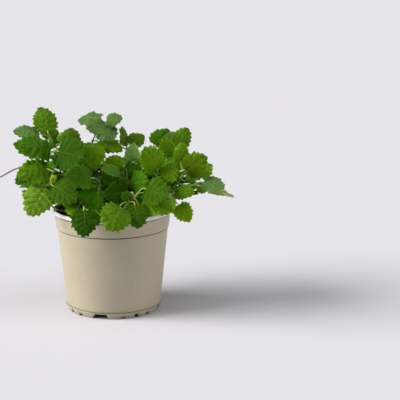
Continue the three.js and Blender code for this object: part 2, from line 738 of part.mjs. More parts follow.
function named(name, geometry, material) {
  const mesh = new THREE.Mesh(geometry, material.clone());
  mesh.name = name;
  return mesh;
}

const plant = grow();
const everyStem = [...plant.shown, plant.twig, ...plant.fill];
const object = new THREE.Group();
object.add(named('pot', pot(), plastic));
object.add(named('soil', soil(everyStem.map((stem) => stem.root)), peat));
for (const stem of [...plant.shown, ...plant.fill]) {
  object.add(named(stem.name, stemSolid(stem, STEM_WIDTH), green));
}
object.add(named(plant.twig.name, stemSolid(plant.twig, TWIG_WIDTH), dry));

export default object;
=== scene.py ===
# A potted lemon balm: leafy stems with toothed, quilted leaves, dark peat, and a beige plastic grow pot.
# Lengths are in millimetres until `put` makes them metres. +Z is up, -Y is the front, and the origin is in
# the middle of the pot's foot.

import itertools
import math

import bpy
import numpy as np
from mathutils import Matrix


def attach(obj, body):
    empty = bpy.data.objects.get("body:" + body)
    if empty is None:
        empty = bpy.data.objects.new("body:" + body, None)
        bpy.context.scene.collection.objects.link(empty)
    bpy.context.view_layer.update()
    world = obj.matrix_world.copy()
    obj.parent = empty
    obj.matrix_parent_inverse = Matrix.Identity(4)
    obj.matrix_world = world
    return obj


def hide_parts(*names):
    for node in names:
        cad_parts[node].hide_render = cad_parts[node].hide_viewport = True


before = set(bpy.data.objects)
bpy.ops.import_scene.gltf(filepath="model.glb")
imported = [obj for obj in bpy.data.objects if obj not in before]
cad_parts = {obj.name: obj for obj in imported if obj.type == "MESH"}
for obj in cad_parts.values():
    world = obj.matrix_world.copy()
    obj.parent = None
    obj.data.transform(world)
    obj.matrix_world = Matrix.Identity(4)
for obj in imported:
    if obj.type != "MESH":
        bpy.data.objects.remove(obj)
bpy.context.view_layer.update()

MM = 0.001

# ---------------------------------------------------------------- sizes

POT_HEIGHT = 111
RIM_RADIUS = 65
WALL = 1.4
WALL_FOOT_RADIUS = 50.4  # the tapering wall, carried down to the floor
WALL_SLOPE = 0.104  # how far the wall leans out for each millimetre of height
COLLAR_Z = 90.7  # the groove under the collar band
COLLAR_STEP = 0.9  # how far the collar stands out from the wall
COLLAR_FLARE = 0.035  # how much more than the wall its inner side leans out
LIP_DROP = 3.8  # height of the flared lip
LIP_Z = POT_HEIGHT - LIP_DROP
LIP_FLARE = 2.4  # how far the lip stands out from the collar
INSIDE_LEAN = 0.2466  # how far the inside of the lip leans out for each millimetre of height
INSIDE_FOOT = (35.2, 35.6)  # a line that leans so and meets the floor at this radius parts inside and outside
PEAT_TIDE = (107.5, 109.3)  # peat clings to the inside up to these heights
DUST_Z = 18  # dust lies on the pot up to here
FOOT_Z = 6.9  # the fine line above the foot
FOOT_RADIUS = 49.4
FOOT_THICKNESS = 1.9
BASE_Z = 5.3  # underside of the raised floor
BASE_THICKNESS = 1.5
POT_SIDES = 180
LARGE_NOTCH = (18.5, 11.5, 4.7)  # width at the foot, width at its top, height
SMALL_NOTCHES = {28: (6, 4.2, 2.1), 45: (5.6, 3.9, 3.1), 62: (5.6, 3.9, 1.8)}  # degrees after a large one
FIRST_NOTCH = 12.7  # degrees left of the front
DRAIN_HOLES = 6
DRAIN_RADIUS = 4
DRAIN_RING = 30  # radius on which the drain holes lie

SOIL_EDGE_Z = 104.5
SOIL_CROWN = 2  # how much higher the soil is in the middle
SOIL_LUMPS = [(26, 0.45), (11, 0.45), (5, 0.35), (2.4, 0.25)]  # size and height
SOIL_RINGS = 64
SOIL_SIDES = 240
CRUMBS = 1400
CRUMB_SIZES = (0.5, 2.6)
CRUMB_REACH = 61.0  # from the pot's axis
GAP = 0.35  # between pieces that touch

STEM_WIDTH = 2.1
NODE_SWELL = 0.3  # how much thicker a stem is where leaves grow from it
NODE_LENGTH = 1.3  # how far along the stem that reaches
TWIG_WIDTH = 1.5
TWIG_KNOTS = (0.42, 0.6, 0.74)  # along its length
TWIG_LEAF = (0.8, 0.16)  # where its withered leaf starts, and how long it is, as shares of the length
TWIG_BOW = 2.6  # how far its end bows up
PETIOLE_WIDTH = 1.4
PETIOLE_LEAD = 3  # a leaf stalk meets its blade along the midrib over this length
YOUNG_LEAD = 1  # the same on a young leaf
PETIOLE_RISE = 0.1  # of the leaf stalk at its middle, as a share of its length
LAST_NODE = 0.985  # of a stem's length: its last leaves grow from just under its tip
ROOT_HEIGHTS = [-9, -1, 4]  # a stem rises straight through these, measured from the soil's edge

OVATE_BASE = 0.42  # the blade's half width is t^base (1 - t)^tip, with t from stalk to tip
OVATE_TIP = 0.7
LOBE = 0.2  # how far the heart-shaped base reaches back
ARCH = 0.07  # rise of the midrib, as a share of its length
DROOP = 0.12  # how far the margins hang below the midrib, as a share of the half width
WAVE = 0.035  # of the margin, as a share of the width
WAVE_TURNS = (9, 2)  # how the wave's angle grows along the blade and across it
LEAF_ASPECT = 1.22  # a blade is this many times as long as it is wide
CLEARANCE = (1, 0.045)  # between sampled points of leaves that don't touch: this plus a share of the length
SAME_STEM_CLEARANCE = 0.6  # of that, between leaves of one stem
LEAF_SAMPLES = (13, 9)  # along and across a blade, to test where it lies
COVER_SAMPLES = (25, 17)  # the same, to draw the view from the front
STEM_SAMPLES = 91  # points of a stem that leaves keep clear of
STALK_SAMPLES = np.arange(5) / 5

THICKNESS = 0.42  # of a blade in its middle; it thins out to the margin
TOOTH_DEPTH = 0.085  # of the blade's width
CRUMPLE = 0.016  # depth of the blade's dents, as a share of its width
ROWS_PER_TOOTH = 7
YOUNG_ROWS = 5
QUILT = 0.034  # how high the blade swells between its veins, as a share of its width
VEINS = 6  # side veins on each half
VEIN_RISE = 0.36  # how far a side vein runs on towards the tip on its way out
VEIN_START = 0.35
VEIN_STAGGER = 0.12  # between the veins of the two halves
CROSS_VEINS = 3.2  # between two side veins, on each half
CROSS_DEPTH = 0.45  # how far the blade sinks along them, as a share of the quilting
MIDRIB_HOLLOW = 1.3  # millimetres from the midrib in which the quilting starts
MARGIN_FLATNESS = 0.8
DENTS = 6  # how fast the dents' angles grow, for one width of the blade
RUFFLE = 0.03  # of the margin, as a share of the width
TWIST = 0.02  # of the blade, as a share of its length
EDGE_STEPS = 600  # for measuring along the margin
TEETH = (5, 9)  # the fewest and the most on each side
TOOTH_PEAK = 0.7  # where a tooth's point is, along it
OTHER_SIDE = 0.4  # how far along a tooth the other side of the blade starts
COLUMNS = (3, 14)  # the fewest and the most columns of faces on each half
SPOT_STEP = 61.0  # between leaves in the patterns of the material, so that no two leaves look the same

# ---------------------------------------------------------------- layout

# A leaf or stem point is [across, up, away]: across and up are where it is seen on the upright plane
# through the pot's axis by an eye in front of the pot, and away is how far behind that plane it lies.
EYE = np.array([94.4, -1300.0, 404.0])
EYE_PITCH = 12.38  # degrees down
EYE_LENS = 111.15

# name, root on the soil, the points that the stem passes, and its leaves:
# (which point, where the blade starts, where its tip is, width, turn, tone).
# A blade faces the eye at turn 0, and looks up at turn 90.
STEMS = [
    ("stem_left_top", (-16, 12), [(-34, 135, 18), (-52, 165, 20), (-66, 187, 18)], [
        (2, (-68, 194, 14), (-74, 219.5, 24), 26, 12, "leaf"),
        (2, (-77, 191, 12), (-105, 193, 2), 22, 50, "silver"),
        (2, (-68, 184, 24), (-57, 194, 38), 24, 10, "mid"),
        (1.2, (-47, 176, 24), (-41, 197, 34), 24, 5, "olive"),
        (1.6, (-54, 182, 16), (-51, 193, 12), 10, 0, "mint"),
    ]),
    ("stem_left_mid", (-24, -8), [(-42, 130, -8), (-54, 155, -12), (-61, 170, -14)], [
        (2, (-65, 172, -15), (-105, 179, -26), 31, 38, "mid"),
        (2, (-57, 172, -18), (-28, 164, -46), 38, 5, "dark"),
        (2, (-62, 175, -13), (-66, 183, -8), 8, 20, "mid"),
    ]),
    ("stem_left_low", (-38, -16), [(-52, 118, -26), (-66, 136, -33), (-62, 151, -32)], [
        (2, (-68, 151, -33), (-102, 147, -46), 29, 22, "fresh"),
        (1, (-72, 133, -36), (-91, 101, -56), 31, 5, "wan"),
        (1, (-63, 134, -40), (-38, 117, -58), 29, 8, "moss"),
        (1, (-64, 139, -36), (-60, 146, -40), 7, 0, "lime"),
        (2, (-88, 150, -18), (-104, 136, -24), 15, 30, "moss"),
    ]),
    ("stem_tall_centre", (-6, -4), [(-16, 140, -6), (-21, 168, -10), (-20, 183, -10), (-10, 203, -4)], [
        (2, (-21, 181, -16), (-20, 151, -38), 28, 0, "fresh"),
        (2, (-13, 182, -12), (12, 173, -18), 20, 30, "fresh"),
        (3, (-13, 206, -2), (-34, 207, 8), 23, 52, "pale"),
        (3, (-7, 202, -8), (-26, 195, -26), 24, 28, "silver"),
        (3, (-5, 204, -8), (12, 208, -18), 15, 20, "pale"),
        (2.6, (-10, 197, -10), (3, 184, -28), 24, 8, "pale"),
    ]),
    ("stem_centre_left", (-14, -22), [(-14, 120, -32), (-13, 138, -38)], [
        (1, (-23, 143, -50), (-50, 146, -64), 26, 20, "pine"),
        (0.6, (-23, 132, -30), (-21, 104, -38), 28, 5, "spring"),
        (1, (-11, 144, -34), (8, 144, -28), 17, 10, "green"),
    ]),
    ("stem_front_left", (-28, -34), [(-31, 109, -52)], [
        (0, (-31, 107, -70), (-31, 77.5, -84), 27, 0, "dark"),
        (0, (-25, 105, -58), (-15, 91, -64), 17, 5, "mid"),
        (0, (-38, 106, -56), (-51, 110, -54), 13, 20, "fresh"),
    ]),
    ("stem_front_centre", (5, -34), [(12, 109, -48), (18, 116, -54)], [
        (1, (8, 111, -68), (-5, 84, -84), 32, 0, "leaf"),
        (1, (24, 113, -61), (28, 87, -75), 24, 0, "moss"),
        (1, (17, 119, -54), (11, 127, -56), 10, 10, "green"),
    ]),
    ("stem_front_right", (20, -27), [(21, 116, -42), (28, 127, -52)], [
        (1, (36, 131, -56), (61, 122, -74), 31, 5, "moss"),
        (0.4, (31, 113, -56), (66, 107, -64), 20, 20, "bright"),
        (0.6, (15, 127, -50), (-9, 124, -56), 25, 10, "dark"),
        (0.2, (24, 121, -44), (31, 106, -50), 15, 0, "deep"),
    ]),
    ("stem_centre", (8, -10), [(14, 124, -20), (17, 137, -26)], [
        (1, (8, 149, -34), (-12, 154, -44), 15, 32, "soft"),
        (1, (21, 137, -26), (39, 141, -34), 24, 10, "mid"),
        (1, (14, 150, -22), (33, 153, -24), 17, 10, "deep"),
        (1, (12, 158, -14), (-7, 163, -20), 15, 5, "vivid"),
    ]),
    ("stem_right_centre", (10, 14), [(12, 140, 16), (14, 165, 16), (16, 175, 15)], [
        (2, (13, 178, 14), (12, 199, 20), 19, 62, "olive"),
        (2, (19, 180, 14), (35, 189, 24), 18, 15, "leaf"),
        (1.5, (22, 161, 2), (23, 181, -8), 16, 0, "frost"),
    ]),
    ("stem_right_mid", (30, -8), [(40, 125, -14), (49, 147, -20)], [
        (1, (50, 153, -24), (34, 176, -42), 28, 8, "bright"),
        (1, (57, 159, -20), (66, 138, -34), 22, 0, "bright"),
    ]),
    ("stem_right_top", (26, 18), [(42, 140, 20), (54, 163, 20), (60, 175, 18)], [
        (2, (46, 179, 16), (62, 195, 26), 22, 8, "mid"),
        (2, (60, 181, 22), (68, 193, 28), 13, 0, "silver"),
        (2, (69, 177, 12), (82, 197, 22), 21, 5, "leaf"),
        (1.2, (61, 165, 6), (57, 187, -4), 19, 0, "vivid"),
    ]),
    ("stem_right_outer", (36, 4), [(57, 124, 2), (68, 134, -2), (77, 148, -4)], [
        (2, (80, 150, -8), (101, 167, -24), 27, 5, "olive"),
        (2, (74, 161, -2), (76, 182, -10), 16, 0, "vivid"),
        (2, (76, 152, 8), (72, 167, 14), 14, 0, "fresh"),
        (1.5, (80, 141, 4), (92, 146, 8), 11, 0, "vivid"),
    ]),
    ("stem_right_low", (43, -8), [(60, 121, -12), (76, 132, -13), (90, 136, -14)], [
        (2, (98, 138, -16), (121, 132.5, -28), 20, 35, "silver"),
        (2, (94, 145, -6), (107, 158, -12), 17, 0, "mint"),
        (2, (92, 134, -8), (103, 129, -6), 12, 0, "leaf"),
        (2, (104, 129, -10), (131, 122, -20), 16, 66, "straw"),
    ]),
    ("stem_right_rim", (38, -24), [(52, 116, -30), (64, 124, -28)], [
        (1, (68, 127, -28), (89, 127, -38), 17, 25, "fresh"),
        (1, (71, 113, -24), (84, 95, -34), 20, 0, "lime"),
        (0.6, (61, 121, -36), (62, 104, -42), 14, 0, "mint"),
    ]),
]

TWIG = ("dry_twig", (-36, 12), [(-60, 150, 6), (-86, 156, 0), (-103, 150, -2), (-131, 137, -4)])

# Stems that fill the middle and the back: where each roots, and how high it reaches.
FILL_STEMS = [
    (-47, 0, 146), (-38, 26, 150), (-18, 44, 152), (8, 47, 154), (30, 38, 152), (47, 16, 146),
    (-14, 26, 158), (-2, 8, 152), (30, -26, 126), (-46, -20, 124), (48, -10, 128), (18, 2, 142),
]
FILL_LEAN = 1.5  # a stem's tip is this many times as far from the axis as its root
FILL_NODES = [0.05, 0.35, 0.7, 1]  # where the pairs of leaves grow on them
LOW_NODES = [0.1, 0.7, 1.3]  # where leaves placed by rule grow on the stems of the table
RULE_TRIES = 80
RULE_LEAF = (18, 42)
RULE_WIDTH = 0.8  # of the length
RULE_STALK = (5, 16)
STALK_REACH = 24  # no leaf stalk reaches farther from its middle
RULE_RISE = 0.35  # of a leaf stalk, as a share of how far it reaches out
RULE_SWING = (0.6, 2.2)  # radians about the heading, for the first try and for the last
RULE_DIP = (-0.3, 0.9)  # radians that the tip points down
RULE_LEAN = 0.5  # how far a blade faces outwards, for each unit that it faces up
SEED = 23
SHIFTS = [0, 3, -3, 6, -6, 9, -9, 12, -12, 15, -15, 18, -18, 22, -22, 26, -26]  # in depth

# The crown as seen from the front: at each distance across, the lowest and the highest that leaves
# placed by rule reach.
CROWN = np.array([
    (-104, 132, 140), (-90, 108, 150), (-70, 102, 165), (-40, 100, 180), (-25, 100, 168),
    (-8, 100, 158), (8, 100, 158), (25, 100, 170), (38, 100, 168), (55, 100, 178),
    (68, 112, 174), (84, 122, 158), (102, 126, 134),
], float)
YOUNG_NODES = (0.4, 1, 1.6)
YOUNG_TRIES = 24
YOUNG_LEAF = (7, 17)
YOUNG_WIDTH = 0.74
YOUNG_STALK = (2, 7)
YOUNG_TURN = 0.8  # radians on from the heading of the leaves placed by rule
YOUNG_SWING = 2.5
YOUNG_RISE = (0.1, 1.1)  # radians up from level: the least, and how much more at most
YOUNG_DROOP = 0.5  # how much less the blade rises than its stalk
YOUNG_LEAN = 0.6  # how far it faces inwards
YOUNG_MARGIN = 5  # how far outside the crown they reach
YOUNG_LOW = 122  # how far down they reach
YOUNG_BEFORE = 0.1  # how much of one may lie in front of a leaf of the table
GOLDEN_ANGLE = 2.4  # radians from one stem's headings to the next one's
BACK_REACH = 94  # leaves placed by rule reach no farther back
FRONT_LIMIT = -25  # leaves placed by rule stay behind this, or behind leaves that hide them
HIDDEN_SHARE = 0.9  # how much of such a leaf has to be hidden
COVER_CELL = 3  # of the grid on which the view from the front is kept
COVER_CELLS = 128
# Leaves may hang behind the pot: past this depth, this far across, and between these heights.
BEHIND_POT_FROM = 58
BEHIND_POT_ACROSS = 55
BEHIND_POT_LOW = 80
BEHIND_POT_HIGH = 110
LIP_BAND = 6  # leaves clear the pot's lip over this width, and the soil inside it
POT_ROOM = 1  # how much higher they stay
UP = np.array([0.0, 0.0, 1.0])

# Leaf colours, and those that leaves draw from that aren't in the table. The table's tones carry painted
# light
# and shade: each was set from how bright its blade shows in the view, so blades lying in shade got lighter
# tones such as spring and frost, brightly lit blades got darker ones such as dark, and pale and silver are
# painted sheen from light glancing off upturned blades.
TONES = {
    "dark": (42, 81, 1), "deep": (50, 104, 8), "moss": (56, 93, 3), "pine": (63, 106, 13),
    "green": (61, 123, 6), "mid": (69, 119, 10), "spring": (111, 188, 27), "leaf": (88, 127, 16),
    "olive": (90, 120, 7), "fresh": (95, 140, 10), "bright": (111, 152, 19), "vivid": (122, 165, 23),
    "wan": (121, 157, 42), "lime": (138, 172, 22), "straw": (196, 210, 140), "pale": (86, 116, 65),
    "soft": (88, 137, 44), "silver": (104, 138, 77), "mint": (144, 185, 56), "frost": (184, 231, 136),
}
RULE_TONES = ["deep", "mid", "green", "leaf", "olive"]
YOUNG_TONES = ["leaf", "fresh", "mid"]

# ---------------------------------------------------------------- curves and growth


def unit(vectors):
    """The vectors at a length of 1."""
    return vectors / np.linalg.norm(vectors, axis=-1, keepdims=True)


def between(pair, share):
    """The first of the pair at share 0, the second at share 1, and evenly from one to the other."""
    return pair[0] + (pair[1] - pair[0]) * share


def level(azimuth):
    """The level direction at an azimuth in radians from +X."""
    return np.array([math.cos(azimuth), math.sin(azimuth), 0.0])


class Curve:
    """A curve through points: on each stretch a cubic in w whose end slopes come from the neighbours, with
    knots spaced by the square root of the distance between points. The ends are mirrored to get the outer
    neighbours."""

    def __init__(self, points):
        inner = np.array(points, float)
        self.count = len(inner)
        self.points = np.vstack([2 * inner[0] - inner[1], inner, 2 * inner[-1] - inner[-2]])

    def at(self, t):
        place = np.asarray(t, float) * (self.count - 1)
        i = np.clip(np.floor(place).astype(int), 0, self.count - 2)
        w = (place - i)[..., None]
        p0, p1, p2, p3 = (self.points[i + k] for k in range(4))
        pairs = ((p0, p1), (p1, p2), (p2, p3))
        d0, d1, d2 = (np.sum((b - a) ** 2, axis=-1, keepdims=True) ** 0.25 for a, b in pairs)
        leave = ((p1 - p0) / d0 - (p2 - p0) / (d0 + d1) + (p2 - p1) / d1) * d1
        arrive = ((p2 - p1) / d1 - (p3 - p1) / (d1 + d2) + (p3 - p2) / d2) * d1
        square = 3 * (p2 - p1) - 2 * leave - arrive
        return p1 + leave * w + square * w**2 + (2 * (p1 - p2) + leave + arrive) * w**3


class Leaf:
    """A leaf's frame: base, the midrib's direction, the direction across it, and the upper face's normal."""

    def __init__(self, base, tip, width, toward, turn):
        self.base = base
        self.width = width
        self.length = float(np.linalg.norm(tip - base))
        self.along = (tip - base) / self.length
        side = unit(np.cross(self.along, toward))
        out = np.cross(side, self.along)
        angle = math.radians(turn if side[2] >= 0 else -turn)
        self.face = out * math.cos(angle) + side * math.sin(angle)
        self.cross = side * math.cos(angle) - out * math.sin(angle)

    def point(self, along, across, height):
        """The place of points given in the leaf's own frame."""
        parts = ((along, self.along), (across, self.cross), (height, self.face))
        return self.base + sum(np.asarray(amount)[..., None] * axis for amount, axis in parts)


def half_width(t):
    """Half the width of a blade one wide: t^base (1 - t)^tip, brought to a half where it is highest."""
    widest = OVATE_BASE / (OVATE_BASE + OVATE_TIP)
    most = widest**OVATE_BASE * (1 - widest) ** OVATE_TIP
    return 0.5 * t**OVATE_BASE * (1 - t) ** OVATE_TIP / most


def flat_form(leaf, t, s):
    """Along, across and height of the blade without its teeth and quilting, at t from stalk to tip and s from
    -1 to 1 across: the margin reaches back beside the stalk, the midrib arches, the sides droop and the
    margin waves."""
    back = np.where(t < 0.5, LOBE * s * s * 16 * t * (1 - t) * (1 - 2 * t) ** 2 * leaf.width * 0.5, 0)
    across = s * half_width(t) * leaf.width
    arch = ARCH * leaf.length * 4 * t * (1 - t)
    wave = WAVE * leaf.width * s * s * np.sin(WAVE_TURNS[0] * t + WAVE_TURNS[1] * s)
    return t * leaf.length - back, across, arch - DROOP * np.abs(across) + wave


def blade_point(leaf, t, s):
    return leaf.point(*flat_form(leaf, np.asarray(t, float), np.asarray(s, float)))


def leaf_samples(leaf, counts=LEAF_SAMPLES):
    """Points spread over a blade: so many along it and so many across."""
    t, s = np.meshgrid(np.linspace(0, 1, counts[0]), np.linspace(-1, 1, counts[1]), indexing="ij")
    return blade_point(leaf, t, s).reshape(-1, 3)


def place(point):
    """Where a point of the layout lies: on the line from the eye through its place on the upright plane."""
    across, up, away = point
    share = (away - EYE[1]) / -EYE[1]
    return np.array([EYE[0] + (across - EYE[0]) * share, away, EYE[2] + (up - EYE[2]) * share])


def seen(points):
    """Where the eye sees points on the upright plane, across and up."""
    share = -EYE[1] / (points[:, 1] - EYE[1])
    return EYE[0] + (points[:, 0] - EYE[0]) * share, EYE[2] + (points[:, 2] - EYE[2]) * share


def inside_crown(points, margin=0):
    """Which points the eye sees inside the crown, or hanging behind the pot."""
    across, up = seen(points)
    at, low, high = CROWN.T
    inside = (across >= at[0]) & (across < at[-1])
    inside &= (up > np.interp(across, at, low)) & (up < np.interp(across, at, high) + margin)
    hanging = (points[:, 1] > BEHIND_POT_FROM) & (np.abs(across) < BEHIND_POT_ACROSS) & (up < BEHIND_POT_HIGH)
    return np.where(hanging, up > BEHIND_POT_LOW, inside)


def inside_pot(points):
    """True when a point is in the pot, or too near its lip or the soil."""
    radius = np.hypot(points[:, 0], points[:, 1])
    limit = np.where(radius > RIM_RADIUS - LIP_BAND, POT_HEIGHT, SOIL_EDGE_Z + SOIL_CROWN) + POT_ROOM
    return bool(((radius < RIM_RADIUS + 2 * POT_ROOM) & (points[:, 2] < limit)).any())


def petiole_curve(start, leaf, lead):
    """A leaf stalk's curve: it rises a little in its middle and meets the blade along the midrib."""
    lead = leaf.base - lead * leaf.along
    middle = (start + lead) / 2
    middle[2] += PETIOLE_RISE * np.linalg.norm(start - lead)
    return Curve([start, middle, lead, leaf.base])


class Stem:
    """A stem rises straight out of the soil at its root and then passes its points."""

    def __init__(self, name, root, points):
        start = [(*root, SOIL_EDGE_Z + height) for height in ROOT_HEIGHTS]
        self.name = name
        self.root = root
        self.curve = Curve([*start, *points])
        self.leaves = []

    def share(self, node):
        """How far along the curve a node is, numbered from the first point above the soil."""
        return min((node + len(ROOT_HEIGHTS)) / (self.curve.count - 1), LAST_NODE)


def near_box(points, others, reach):
    """The points that are within reach of the box round the others."""
    if not len(others):
        return others
    inside = (points > others.min(axis=0) - reach) & (points < others.max(axis=0) + reach)
    return points[inside.all(axis=1)]


class Space:
    """The places that stems and leaves already take, as sampled points."""

    def __init__(self):
        self.taken = []
        self.balls = np.empty((0, 4))

    def add(self, stem, kind, points, centre, reach):
        self.taken.append((stem.name, kind, points))
        self.balls = np.vstack([self.balls, [*centre, reach]])

    def add_stem(self, stem):
        points = stem.curve.at(np.linspace(0, 1, STEM_SAMPLES))
        points = points[points[:, 2] > SOIL_EDGE_Z]
        centre = stem.curve.at(0.6)
        self.add(stem, "stem", points, centre, np.linalg.norm(points - centre, axis=1).max())

    def add_leaf(self, stem, leaf):
        centre = blade_point(leaf, 0.5, 0)
        self.add(stem, "blade", leaf_samples(leaf), centre, leaf.length * 0.5 + leaf.width * 0.3)
        points = leaf.stalk.at(STALK_SAMPLES)
        self.add(stem, "stalk", points, points[2], STALK_REACH)
        stem.leaves.append(leaf)

    def is_clear(self, stem, leaf):
        """True when no sampled point of the leaf or its stalk comes near a piece that it doesn't grow
        from."""
        blade = leaf_samples(leaf)
        whole = np.vstack([blade, leaf.stalk.at(STALK_SAMPLES)])
        reach = leaf.length * 0.6 + leaf.width * 0.4 + STALK_REACH
        least = CLEARANCE[0] + CLEARANCE[1] * leaf.length
        apart = np.linalg.norm(self.balls[:, :3] - blade_point(leaf, 0.5, 0), axis=1)
        for i in np.flatnonzero(apart <= reach + self.balls[:, 3]):
            name, kind, points = self.taken[i]
            same = name == stem.name
            if same and kind != "blade":
                continue
            own, nearest = (blade, least * SAME_STEM_CLEARANCE) if same else (whole, least)
            own = near_box(own, points, nearest)
            points = near_box(points, own, nearest)
            if len(points) and ((own[:, None] - points[None]) ** 2).sum(axis=-1).min() < nearest**2:
                return False
        return True


def tip_depth(base, tip, width):
    """A blade keeps its length: what of it isn't seen from the front runs in depth, the way that its tip
    leans."""
    shown = math.hypot(tip[0] - base[0], tip[1] - base[1])
    hidden = math.sqrt(max(0, (LEAF_ASPECT * width) ** 2 - shown**2))
    given = tip[2] - base[2]
    return base[2] + math.copysign(max(abs(given), hidden), given)


def try_leaf(stem, leaf, node, space, tone=None, young=False):
    """Adds a leaf to its stem where it is clear of the others, and tells whether it is."""
    leaf.node = node
    leaf.tone = tone
    leaf.young = young
    leaf.stalk = petiole_curve(stem.curve.at(node), leaf, YOUNG_LEAD if young else PETIOLE_LEAD)
    clear = space.is_clear(stem, leaf)
    if clear:
        space.add_leaf(stem, leaf)
    return clear


def grow_shown_leaf(stem, row, space):
    """A leaf that would touch another is moved away from the eye or towards it until it is clear."""
    node, base, tip, width, turn, tone = row
    depth = tip_depth(base, tip, width)
    for shift in SHIFTS:
        start = place((base[0], base[1], base[2] + shift))
        leaf = Leaf(start, place((tip[0], tip[1], depth + shift)), width, EYE - start, turn)
        if not inside_pot(leaf_samples(leaf)) and try_leaf(stem, leaf, stem.share(node), space, tone):
            return


def cells_of(points):
    """The cells of the view from the front that points fall in."""
    across, up = seen(points)
    return (across // COVER_CELL).astype(int) + COVER_CELLS // 2, (up // COVER_CELL).astype(int)


def cover_of(stems):
    """For each cell of the view from the front, the depth of the nearest blade."""
    cover = np.full((COVER_CELLS, COVER_CELLS), np.inf)
    for stem in stems:
        for leaf in stem.leaves:
            points = leaf_samples(leaf, COVER_SAMPLES)
            np.minimum.at(cover, cells_of(points), points[:, 1])
    return cover


def grow_rule_leaf(stem, node, heading, random, space, cover):
    """A leaf that points to the heading: each try draws it anew, and later tries are smaller and turn
    farther."""
    node = stem.share(node)
    start = stem.curve.at(node)
    for i in range(RULE_TRIES):
        late = i / RULE_TRIES
        length = between(RULE_LEAF, 1 - late * random())
        out = level(heading + between(RULE_SWING, late) * (random() - 0.5))
        dip = between(RULE_DIP, random())
        stalk = between(RULE_STALK, random())
        base = start + out * stalk + UP * stalk * RULE_RISE
        tip = base + out * length * math.cos(dip) - UP * length * math.sin(dip)
        leaf = Leaf(base, tip, length * RULE_WIDTH, out * RULE_LEAN + UP, 0)
        samples = leaf_samples(leaf)
        if not inside_crown(samples).all() or samples[:, 1].max() >= BACK_REACH or inside_pot(samples):
            continue
        hidden = (cover[cells_of(samples)] < samples[:, 1]).mean() > HIDDEN_SHARE
        if (hidden or samples[:, 1].min() > FRONT_LIMIT) and try_leaf(stem, leaf, node, space):
            return


def grow_young_leaf(stem, node, heading, random, space, cover):
    """A small leaf that grows up and out from a node: later tries are smaller, shorter stalked and
    turned."""
    start = stem.curve.at(node)
    for i in range(YOUNG_TRIES):
        late = i / YOUNG_TRIES
        length = between(YOUNG_LEAF, (1 - late) * (0.5 + 0.5 * random()))
        out = level(heading + YOUNG_SWING * late * (random() - 0.5))
        rise = YOUNG_RISE[0] + YOUNG_RISE[1] * random()
        flatter = rise - YOUNG_DROOP
        reach = between(YOUNG_STALK, random() * (1 - late))
        base = start + (out * math.cos(rise) + UP * math.sin(rise)) * reach
        tip = base + out * length * math.cos(flatter) + UP * length * math.sin(flatter)
        leaf = Leaf(base, tip, length * YOUNG_WIDTH, UP - out * YOUNG_LEAN, 0)
        samples = leaf_samples(leaf)
        behind = cover[cells_of(samples)]
        before = (np.isfinite(behind) & (behind > samples[:, 1])).mean() > YOUNG_BEFORE
        inside = inside_crown(samples, YOUNG_MARGIN).all() and samples[:, 2].min() >= YOUNG_LOW
        if inside and not before and try_leaf(stem, leaf, node, space, young=True):
            return


def grow_pair(grow_leaf, stem, node, heading, *rest):
    """Two leaves on opposite sides of a stem."""
    for turn in (0, math.pi):
        grow_leaf(stem, node, heading + turn, *rest)


def seeded(seed):
    """Numbers from 0 to 1: each state is the last one times 16807, and what is left of it after whole
    limits."""
    limit = 2**31 - 1
    state = [seed]

    def draw():
        state[0] = state[0] * 16807 % limit
        return state[0] / limit

    return draw


def fill_stem(index, row):
    """A stem that leans out from its root, evenly, up to its height."""
    x, y, top = row
    middle = (1 + FILL_LEAN) / 2
    points = [(x * middle, y * middle, (top + SOIL_EDGE_Z) / 2), (x * FILL_LEAN, y * FILL_LEAN, top)]
    return Stem(f"stem_fill_{index + 1}", (x, y), points)


def grow():
    """The stems with their leaves, and the twig. Leaves of the table come first, then leaves placed by rule,
    then the young leaves."""
    space = Space()
    shown = [Stem(name, root, [place(p) for p in points]) for name, root, points, _ in STEMS]
    twig = Stem(TWIG[0], TWIG[1], [place(p) for p in TWIG[2]])
    fill = [fill_stem(i, row) for i, row in enumerate(FILL_STEMS)]
    for stem in [*shown, twig, *fill]:
        space.add_stem(stem)
    for stem, row in zip(shown, STEMS):
        for leaf_row in row[3]:
            grow_shown_leaf(stem, leaf_row, space)
    cover = cover_of(shown)
    random = seeded(SEED)
    for stems, nodes in ((fill, FILL_NODES), (shown, LOW_NODES)):
        for i, stem in enumerate(stems):
            for pair, node in enumerate(nodes):
                heading = i * GOLDEN_ANGLE + pair * math.pi / 2
                grow_pair(grow_rule_leaf, stem, node, heading, random, space, cover)
    for i, stem in enumerate([*shown, *fill]):
        nodes = {leaf.node for leaf in stem.leaves} | {LAST_NODE, *(stem.share(node) for node in YOUNG_NODES)}
        for pair, node in enumerate(sorted(nodes)):
            heading = i * GOLDEN_ANGLE + pair * math.pi / 2 + YOUNG_TURN
            grow_pair(grow_young_leaf, stem, node, heading, random, space, cover)
    return [*shown, *fill], twig


# ---------------------------------------------------------------- surfaces


class Shape:
    """Points, triangles and named values for each point."""

    def __init__(self, points, triangles, values=None):
        self.points = points
        self.triangles = triangles
        self.values = values or {}


def added(shapes):
    """All the shapes as one."""
    starts = np.cumsum([0, *[len(shape.points) for shape in shapes[:-1]]])
    triangles = np.concatenate([shape.triangles + start for shape, start in zip(shapes, starts)])
    values = {key: np.concatenate([shape.values[key] for shape in shapes]) for key in shapes[0].values}
    return Shape(np.concatenate([shape.points for shape in shapes]), triangles, values)


def grid_triangles(index):
    """Two triangles for each cell of a grid of point numbers, facing columns x rows. Where a cell has the
    same number twice, as at a pole, its empty triangle is dropped."""
    a, b = index[:-1, :-1].ravel(), index[:-1, 1:].ravel()
    c, d = index[1:, 1:].ravel(), index[1:, :-1].ravel()
    triangles = np.concatenate([np.stack([a, b, c], axis=1), np.stack([a, c, d], axis=1)])
    p, q, r = triangles.T
    return triangles[(p != q) & (q != r) & (r != p)]


